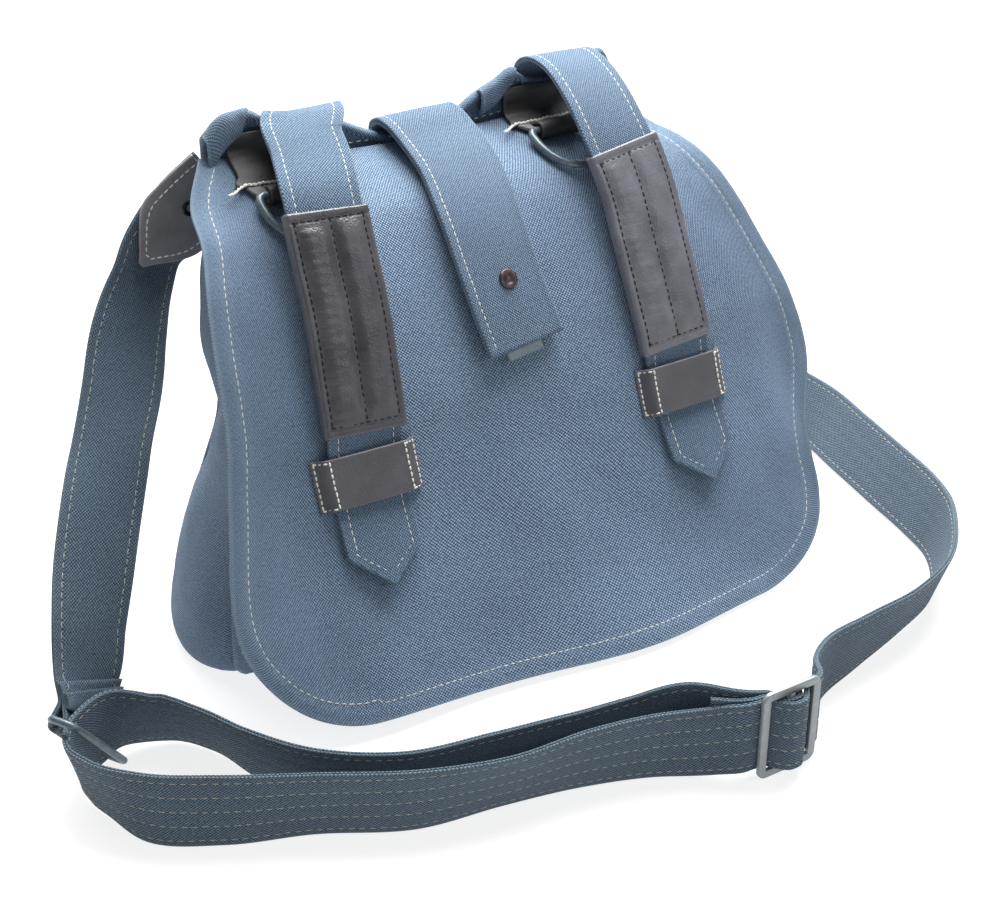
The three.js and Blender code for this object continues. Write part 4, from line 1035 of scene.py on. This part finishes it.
def sleeve_piece(side, made, plump, wrinkle, hide):
    low = above((-1 if side == "left" else 1) * 93, 152, 6).z
    held = [f for f in made if f["at"].y < -17 and f["at"].z < 238.5 and f["at"].z >= low - 0.5]
    start = held[0]["run"]
    length = held[-1]["run"] - start
    points, faces, uvs, wear = [], [], [], []
    face_steps = 30
    count = 0
    for f in held:
        run = f["run"] - start
        border = min(run, length - run)
        outer, inner = [], []
        for k in range(face_steps + 1):
            s = -SLEEVE_WIDTH / 2 + 0.9 + (SLEEVE_WIDTH - 1.8) * k / face_steps
            inside = SLEEVE_WIDTH / 2 - abs(s)
            t = SLEEVE_DEPTH / 2
            field = ease(inside, 4, 7) * ease(border, 4, 7)
            channel = min(abs(s), SLEEVE_WIDTH / 2 - 4 - abs(s))
            t += plump * field * ease(channel, 0, 6) * ease(border, 3, 15)
            t -= 0.55 * near(inside, 4, 0.8) * ease(border, 3, 4.2) + 0.55 * near(border, 4, 0.8)
            t -= 0.5 * near(s, 0.5, 0.8) * ease(border, 3, 4.5)
            crossing = 0.3 + 0.7 * ease(-s, -2, 6) + 0.5 * ease(run, length * 0.4, length)
            t += wrinkle * field * crossing * ripple(s * 0.22, run, 3.6, 7)
            pulled = (run + 1.6 * ripple(s * 0.3, run, 9, 2)) / CREASE_SPACING % 1 - 0.5
            t -= 1.5 * wrinkle * field * near(pulled, 0, 0.13) * near(s, -14, 5)
            t += 0.25 * ripple(s, run, 9, 3)
            outer.append((s, t))
        edge = [(SLEEVE_WIDTH / 2 - 0.2, SLEEVE_DEPTH / 2 - 0.7), (SLEEVE_WIDTH / 2, SLEEVE_DEPTH / 2 - 2),
                (SLEEVE_WIDTH / 2 - 0.1, 0), (SLEEVE_WIDTH / 2, -SLEEVE_DEPTH / 2 + 2),
                (SLEEVE_WIDTH / 2 - 0.2, -SLEEVE_DEPTH / 2 + 0.7)]
        outer += edge
        outer += [(SLEEVE_WIDTH / 2 - 0.9 - (SLEEVE_WIDTH - 1.8) * k / 6, -SLEEVE_DEPTH / 2) for k in range(7)]
        outer += [(-s, t) for s, t in reversed(edge)]
        wide, deep = SLEEVE_WIDTH / 2 - 1.3, LOOP_THICK / 2 + 0.2
        for s, t in outer:
            inner.append((max(-wide, min(wide, s)), max(-deep, min(deep, t))))
        count = len(outer)
        for s, t in outer + inner:
            points.append(on_band(f, s, t))
            uvs.append((s, run))
            rubbed = SLEEVE_WIDTH / 2 - abs(s) < 0.8 or border < 0.8
            wear.append(0.7 if rubbed else 0.0)
    for i in range(len(held) - 1):
        a, b = 2 * count * i, 2 * count * (i + 1)
        for k in range(count):
            n = (k + 1) % count
            faces.append((a + k, a + n, b + n, b + k))
            faces.append((a + count + k, a + count + n, b + count + n, b + count + k))
    end = 2 * count * (len(held) - 1)
    for base in (0, end):
        for k in range(count):
            n = (k + 1) % count
            faces.append((base + k, base + n, base + count + n, base + count + k))
    piece = from_lists(f"loop_sleeve_leather_{side}", points, faces, uvs, wear)
    dress(piece, hide, [f"loop_sleeve_{side}"])
    top = SLEEVE_DEPTH / 2 - 0.35
    paths = []
    reach = SLEEVE_WIDTH / 2 - 4
    body = [f for f in held if 4 <= f["run"] - start <= length - 4]
    for s in (-reach, 0.5, reach):
        paths.append([sewn_at(f, s, top) for f in body])
    for f in (body[0], body[-1]):
        paths.append([sewn_at(f, -reach + 2 * reach * k / 12, top) for k in range(13)])
    sew(f"loop_sleeve_stitches_{side}", paths, 3.0, 0.7, 0.5, black_thread)


sleeve_piece("left", loops["left"], 2.1, 0.3, sleeve_hide)
sleeve_piece("right", loops["right"], 1.0, 0.14, grey_hide)


# Leather keepers
KEEPER_SEAMS = (0.72, 0.95)


def keeper_rise(w):
    inward = KEEPER_WIDTH / 2 * (1 - abs(w))
    return 1.4 + LEATHER / 2 + 5.4 * ease(inward, 1.2, 6.5)


for side, hand in (("left", -1), ("right", 1)):
    def keeper_point(s, t, hand=hand):
        w = 2 * s - 1
        x = hand * KEEPER_X + w * KEEPER_WIDTH / 2
        down = KEEPER_FROM + (KEEPER_TO - KEEPER_FROM) * t
        return above(x, down, keeper_rise(w) + 0.15 * ripple(x, down, 12, 4))

    def keeper_stitch(w, down, hand=hand):
        x = hand * KEEPER_X + w * KEEPER_WIDTH / 2
        return above(x, down, keeper_rise(w) + LEATHER / 2 + 0.1), flap_normal(x, down)

    piece = sheet(f"keeper_leather_{side}", 56, 22, keeper_point, (KEEPER_WIDTH, 26), LEATHER,
                  lambda s, t: 0.7 if min(t, 1 - t) < 0.03 or min(s, 1 - s) < 0.015 else 0.0)
    dress(piece, keeper_hide, [f"keeper_{side}"])
    low, high = KEEPER_SEAMS
    downs = [KEEPER_FROM + 1.6 + (KEEPER_TO - KEEPER_FROM - 3.2) * k / 11 for k in range(12)]
    paths = [[keeper_stitch(w, down) for down in downs] for w in (-high, -low, low, high)]
    for first, last in ((-high, -low), (low, high)):
        for down in (KEEPER_FROM + 1.4, KEEPER_TO - 1.4):
            paths.append([keeper_stitch(first + (last - first) * k / 4, down) for k in range(5)])
    sew(f"keeper_stitches_{side}", paths, 2.5, 0.5, 0.55, white_thread)


# Centre tab
TAB_SEAM = 18.5
rows = [dict(r) for r in TAB_TOP_ROWS] + [row_at(above(r["x"], r["down"], r["rise"])) for r in TAB_LOW_ROWS]
samples = sampled(rows, 2.5)
for s in samples:
    s.update(sx=1, sy=0.05, sz=0)
tab_made = frames(samples)
tab = band("centre_tab_cloth", tab_made, TAB_WIDTH, TAB_THICK, rows=(-TAB_SEAM, TAB_SEAM),
           relief=lambda s, run: 0.35 * ripple(s, run, 22, 9.0))
dress(tab, shade_darkened_duck, ["centre_tab"])
paths = [[sewn_at(f, -TAB_SEAM, TAB_THICK / 2 - 0.15 + 0.35 * ripple(-TAB_SEAM, f["run"], 22, 9.0))
          for f in tab_made[:-2]]]
for f in (tab_made[4], tab_made[7]):
    paths.append([sewn_at(f, -TAB_SEAM + 2 * TAB_SEAM * k / 12, TAB_THICK / 2) for k in range(13)])
sew("centre_tab_stitches", paths, 2.9, 0.8, 0.3, pale_thread)

target = above(0, 98, 6)
rivet_frame = min(tab_made, key=lambda f: (f["at"] - target).length)
rivet_at = on_band(rivet_frame, 2, TAB_THICK / 2 - 0.1)
RIVET = ((0.01, 0.2), (4.9, 0.0), (5.2, 0.3), (5.15, 0.9), (4.7, 1.35), (4.0, 1.5), (3.2, 1.35),
         (2.4, 0.9), (1.4, 0.65), (0.6, 0.6), (0.01, 0.6))
rivet = turned("tab_rivet_head", RIVET, rivet_at, rivet_frame["face"])
dress(rivet, copper, ["tab_rivet"])

below = TAB_THICK / 2 + 1.2
hook_made = [dict(f) for f in tab_made if tab_made[-1]["run"] - f["run"] < 26]
for f in hook_made:
    f["at"] = f["at"] - f["face"] * below
for reach in (1.5, 3.0, 4.2, 4.8):
    last = dict(hook_made[-1])
    last["at"] = tab_made[-1]["at"] - tab_made[-1]["face"] * below + tab_made[-1]["along"] * reach
    hook_made.append(last)
for f in hook_made:
    f["half"] = 12
hook_made[-1]["half"] = 11.2
HOOK_EDGE = ((0.5, 0.5), (0.15, 0.4), (0.0, 0.15), (0.0, -0.15), (0.15, -0.4), (0.5, -0.5))
hook = band("tab_hook_plate", hook_made, 24, 1.6, edge=HOOK_EDGE, wear_edge=0.0)
dress(hook, grey_steel, ["tab_hook"])


# D-rings and their leather tabs
def twisted_thread(name, path, radius, pitch):
    """Thick sewing thread of two strands laid round each other along a path of (point, outward)."""
    points, faces = [], []
    sides = 6
    for strand in (0, math.pi):
        first = len(points)
        run = 0
        for i, (p, out) in enumerate(path):
            ahead = path[min(i + 1, len(path) - 1)][0] - path[max(i - 1, 0)][0]
            along = ahead.normalized()
            side = along.cross(out).normalized()
            run += (p - path[i - 1][0]).length if i else 0
            turn = 2 * math.pi * run / pitch + strand
            middle = p + (side * math.cos(turn) + out * math.sin(turn)) * radius * 0.55
            for k in range(sides):
                a = 2 * math.pi * k / sides
                points.append(middle + (side * math.cos(a) + out * math.sin(a)) * radius * 0.62)
        faces += tube_faces(len(path), sides, first=first)
    return from_lists(name, points, faces)


for side, hand in (("left", -1), ("right", 1)):
    x = hand * D_X + D_SHIFT

    def tab_down(down, hand=hand):
        return down - (D_RIGHT_UP * min(1, down / 20) if hand > 0 else 0)

    seam_z = flap_base(x, 0).z
    face = RIM_Y - RIM_THICK / 2 - 0.4 - LEATHER / 2
    top = flap_over(x, 0)
    rows = [row_at(Vector((x, face - back, seam_z + rise)), top, half=20)
            for back, rise in ((1.4, 15), (2.6, 12.5), (2.8, 10), (2.6, 7), (3.4, 4.4))]
    for r in D_TAB_ROWS:
        down = tab_down(r["down"])
        over = flap_over(x, tab_down(D_BAR_DOWN) if r["down"] > 20 else down)
        rows.append(row_at(above(x, down, r["rise"]), over, half=r["half"]))
    made = frames(sampled(rows, 0.9))
    piece = band(f"d_ring_tab_leather_{side}", made, 40, LEATHER, edge=ONE_PLY_EDGE)
    dress(piece, tab_hide, [f"d_ring_tab_{side}"])

    # Thick thread across the tab, its loose end past the left edge
    sewn = tab_down(20)
    path = []
    for k in range(101):
        over = -30 + 51 * k / 100
        loose = ease(-over, 19, 30)
        down = sewn + 0.6 * ripple(k, 0, 9, 2) + 5 * loose
        rise = 4.4 + 0.5 * ripple(k, 3, 7, 1) + 0.8 * loose
        path.append((above(x + over, down, rise), flap_normal(x + over, down)))
    dress(twisted_thread(f"d_ring_tab_thread_{side}", path, 0.75, 5.0), white_thread)

    # Rough tail of the tab below the thread, beside the fold that holds the ring
    tail_left, tail_right = (-19, -9) if hand < 0 else (-18.5, -12)

    def tail_point(s, t, low=tail_left, high=tail_right, x=x, sewn=sewn):
        down = sewn + 1 + (12.5 if low < -18.6 else 8) * t
        over = low + 5.5 * t + (high - low - 4 * t) * s
        return above(x + over, down, 3.2 + 1.6 * t + 0.4 * ripple(over, down, 4, 6))

    tail = sheet(f"d_ring_tab_tail_{side}", 16, 16, tail_point, (10, 11), LEATHER, lambda s, t: 0.6 * (t > 0.9))
    dress(tail, raw_hide)

    bar_down = tab_down(D_BAR_DOWN)
    bar = above(x, bar_down, D_BAR_RISE)
    foot = above(x, bar_down + D_DEPTH, 1 + 0.4 + D_WIRE + 1.4)
    along = flap_over(x, bar_down)
    across = foot - bar
    across = (across - along * across.dot(along)).normalized()
    bend = 3.2
    flat = [(-D_HALF + bend + (2 * D_HALF - 2 * bend) * k / 6, 0) for k in range(7)]
    flat.append((D_HALF - bend * 0.3, bend * 0.3))
    for k in range(49):
        t = math.pi * k / 48
        flat.append((D_HALF * math.cos(t), bend + (D_DEPTH - bend) * math.sin(t) ** 0.9))
    flat.append((-D_HALF + bend * 0.3, bend * 0.3))
    middles = [bar + along * a + across * b for a, b in flat]
    ring = wire(f"d_ring_wire_{side}", middles, round_section(D_WIRE), along.cross(across).normalized())
    dress(ring, grey_steel, [f"d_ring_{side}"], body=f"ring_{side}")

# Shoulder strap: leather ends with a lacquered eyelet
EYELET = ((0.01, 0.0), (4.2, 0.0), (4.3, 0.4), (4.0, 0.9), (3.3, 1.2), (2.6, 1.1), (2.1, 0.6), (1.9, 0.1),
          (0.01, 0.05))
PATCH_SEAM = 5
for side, hand in (("left", -1), ("right", 1)):
    made = frames(sampled(mirrored(END_ROWS, hand), 1.5))
    piece = band(f"strap_end_leather_{side}", made, 42, LEATHER, edge=ONE_PLY_EDGE)
    # The strap ends take the hide painted lighter to offset the shade they are in
    dress(piece, shade_lightened_hide, [f"strap_end_{side}"])
    seam_line = [(f, f["half"] - PATCH_SEAM) for f in made[2:] if f["half"] > PATCH_SEAM + 0.8]
    path = [sewn_at(f, -w, LEATHER / 2) for f, w in seam_line]
    path += [sewn_at(f, w, LEATHER / 2) for f, w in reversed(seam_line)]
    sew(f"strap_end_stitches_{side}", [path], 2.7, 0.9, 0.42, white_thread)
    f = frames(mirrored(END_ROWS, hand))[1]
    eyelet = turned(f"strap_eyelet_{side}", EYELET, *sewn_at(f, 0, LEATHER / 2 - 0.1))
    dress(eyelet, black_steel, [f"strap_rivet_{side}"])


# Shoulder strap: webbing, ring and slider
def slider_place(row):
    p = SLIDER_AT + Vector((row["x"], row["y"], row.get("lift", 0)))
    return row_at(p, Vector((0, 0, 1)))


long_rows = mirrored(TOP_ROWS, 1) + LONG_ROWS + [slider_place(r) for r in WEAVE_ROWS]
long_rows += RUN_ROWS + [slider_place(r) for r in WRAP_ROWS]
long_made = on_floor(frames(sampled(long_rows, 3.0)), STRAP_WIDTH, STRAP_THICK)
strap_long = band("strap_long_webbing", long_made, STRAP_WIDTH, STRAP_THICK, rows=(-16, -8, 0, 8, 16))
dress(strap_long, strap_duck, ["strap_long"])

# The short strap turns round the ring's far bar and its end is sewn back to it in three plies
SHORT_THICK = 2.2
short_rows = TOP_ROWS + SHORT_ROWS
fold_bar = RING_AT - RING_ACROSS * RING_HALF_GAP
fold = RING_WIRE + 0.4 + 1.1 + 0.2
for out, across in ((-10, -1), (-4, -1), (0, -1), (0.71, -0.71), (1, 0), (0.71, 0.71), (0, 1)):
    p = fold_bar + RING_ACROSS * across * fold + RING_OUT * (out if abs(out) > 1 else out * fold)
    short_rows.append(row_at(p, RING_ALONG))
straight = frames(sampled(short_rows, 2.2))
held = [f for f in straight if (f["at"] - fold_bar).dot(RING_OUT) < -3]
inward = 1 if (held[-1]["face"].dot(RING_ACROSS)) > 0 else -1
PLY_STEP = SHORT_THICK + 0.5


def ply_rows(layer, first, last):
    """Rows that run back up the strap, one or more plies in front of it."""
    rows = []
    for f in reversed(held):
        up = held[-1]["run"] - f["run"]
        if first <= up <= last:
            rows.append(row_at(on_band(f, 0, inward * layer * PLY_STEP), f["side"]))
    return rows


short_rows += ply_rows(1, 5, 23)
short_made = frames(sampled(short_rows, 2.2))
strap_short = band("strap_short_webbing", short_made, STRAP_WIDTH, SHORT_THICK, rows=(-15, 15))
dress(strap_short, strap_duck, ["strap_short"])
hem_made = frames(sampled(ply_rows(2, 4, 20), 2.0))
dress(band("strap_short_hem", hem_made, STRAP_WIDTH, SHORT_THICK, rows=(-15, 15)), strap_duck)

marks = {}
for i, f in enumerate(long_made):
    if "slider" not in marks and f["at"].x < 50 and f["at"].y < -236:
        marks["slider"] = i
    if "turn" not in marks and f["at"].x < -255 and f["at"].y > -90:
        marks["turn"] = i
long_sewn, short_sewn = STRAP_THICK - 0.3, SHORT_THICK - 0.3
paths = [row_path(long_made, s, long_sewn, 0, None, up) for s in (-16, 16) for up in (1, -1)]
paths += [row_path(long_made, s, long_sewn, marks["slider"], marks["turn"], up)
          for s in (-8, 0, 8) for up in (1, -1)]
for s in (-15, 15):
    paths += [row_path(short_made, s, short_sewn, 0, None, up) for up in (1, -1)]
    paths.append(row_path(hem_made, s, short_sewn, 0, None, inward))
# Rows across, where the ends are sewn down behind the rim
for made, thick in ((long_made, long_sewn), (short_made, short_sewn)):
    for reach in (4, 8, 24):
        f = next(f for f in made if f["run"] >= reach)
        out = f["face"] * math.copysign(1, f["face"].y)
        paths.append([(f["at"] + f["side"] * s + out * thick / 2, out) for s in (-16, 0, 16)])
sew("strap_stitches", paths, 3.3, 1.5, 0.3, strap_thread)


def rounded_path(half_x, half_y, bend, steps=6):
    spots = []
    for cx, cy, start in ((1, -1, -90), (1, 1, 0), (-1, 1, 90), (-1, -1, 180)):
        for k in range(steps + 1):
            t = math.radians(start + 90 * k / steps)
            spots.append((cx * (half_x - bend) + bend * math.cos(t), cy * (half_y - bend) + bend * math.sin(t)))
    return spots


middles = [RING_AT + RING_ALONG * a + RING_ACROSS * b
           for a, b in rounded_path(RING_HALF_LENGTH, RING_HALF_GAP, 5, 10)]
ring = wire("strap_ring_wire", middles, round_section(RING_WIRE), RING_OUT)
dress(ring, grey_steel, ["strap_ring"])

BAR = 4.4
middles = [SLIDER_AT + Vector((a, 0, b)) for a, b in
           rounded_path(SLIDER_WIDTH / 2 - BAR / 2, SLIDER_HEIGHT / 2 - BAR / 2, 2.4)]
frame_piece = wire("slider_frame", middles, box_section(BAR, SLIDER_PLATE, 0.6), Vector((0, -1, 0)))
bar_line = [SLIDER_AT + Vector((0, 0, z)) for z in (-21.5, -10, 0, 10, 21.5)]
bar_piece = wire("slider_bar", bar_line, box_section(3.9, SLIDER_PLATE, 1.0), Vector((0, -1, 0)), closed=False)
slider = join([frame_piece, bar_piece], "slider_buckle")
dress(slider, slider_steel, ["slider"])

# Studio: pale floor, soft light from above, camera of the photograph
plain_select()
bpy.ops.mesh.primitive_plane_add(size=8, location=(0, 0, -0.0005))
floor = bpy.context.object
floor.name = "studio_floor"
# White acrylic lit from below: an even white ground on which shadows stay faint
paper, paper_tree, paper_shader = fresh("white lit acrylic")
grain = node(paper_tree, "ShaderNodeTexNoise", None, {"Scale": 40.0, "Detail": 2.0})
tone = node(paper_tree, "ShaderNodeMix", {"Factor": grain.outputs["Fac"]},
            {"A": hex_colour("#939394"), "B": hex_colour("#979798")}, data_type="RGBA")
feed(paper_tree, paper_shader, {"Base Color": tone.outputs["Result"]},
     {"Roughness": 0.9, "Emission Color": hex_colour("#ffffff"), "Emission Strength": 0.8})
floor.data.materials.append(paper)

world = bpy.data.worlds.new("studio")
bpy.context.scene.world = world
world.use_nodes = True
feed(world.node_tree, world.node_tree.nodes["Background"], None,
     {"Color": hex_colour("#ffffff"), "Strength": 0.3})


def soft_light(name, at, target, size, power):
    light = bpy.data.lights.new(name, "AREA")
    light.shape = "DISK"
    light.size = size
    light.energy = power
    lamp = bpy.data.objects.new(name, light)
    bpy.context.collection.objects.link(lamp)
    lamp.location = at
    lamp.rotation_euler = (Vector(target) - Vector(at)).to_track_quat("-Z", "Y").to_euler()


soft_light("top_light", (0.32, 0.22, 0.98), (0.02, -0.05, 0.1), 1.0, 32)
soft_light("front_light", (0.95, -1.55, 1.1), (0, 0, 0.1), 0.7, 4.5)
soft_light("paper_light", (0.1, 1.7, 1.7), (0.1, 1.3, 0), 2.0, 44)
bpy.context.scene.view_settings.view_transform = "Standard"

camera_data = bpy.data.cameras.new("photo_camera")
camera_data.lens = CAMERA_LENS
camera_data.sensor_width = 36
camera_data.sensor_fit = "HORIZONTAL"
camera_data.clip_end = 50
camera = bpy.data.objects.new("photo_camera", camera_data)
bpy.context.collection.objects.link(camera)
camera.location = Vector(CAMERA_AT) * MM
aim = (Vector(CAMERA_TARGET) - Vector(CAMERA_AT)).to_track_quat("-Z", "Y")
camera.rotation_euler = aim.to_euler()
bpy.context.scene.camera = camera
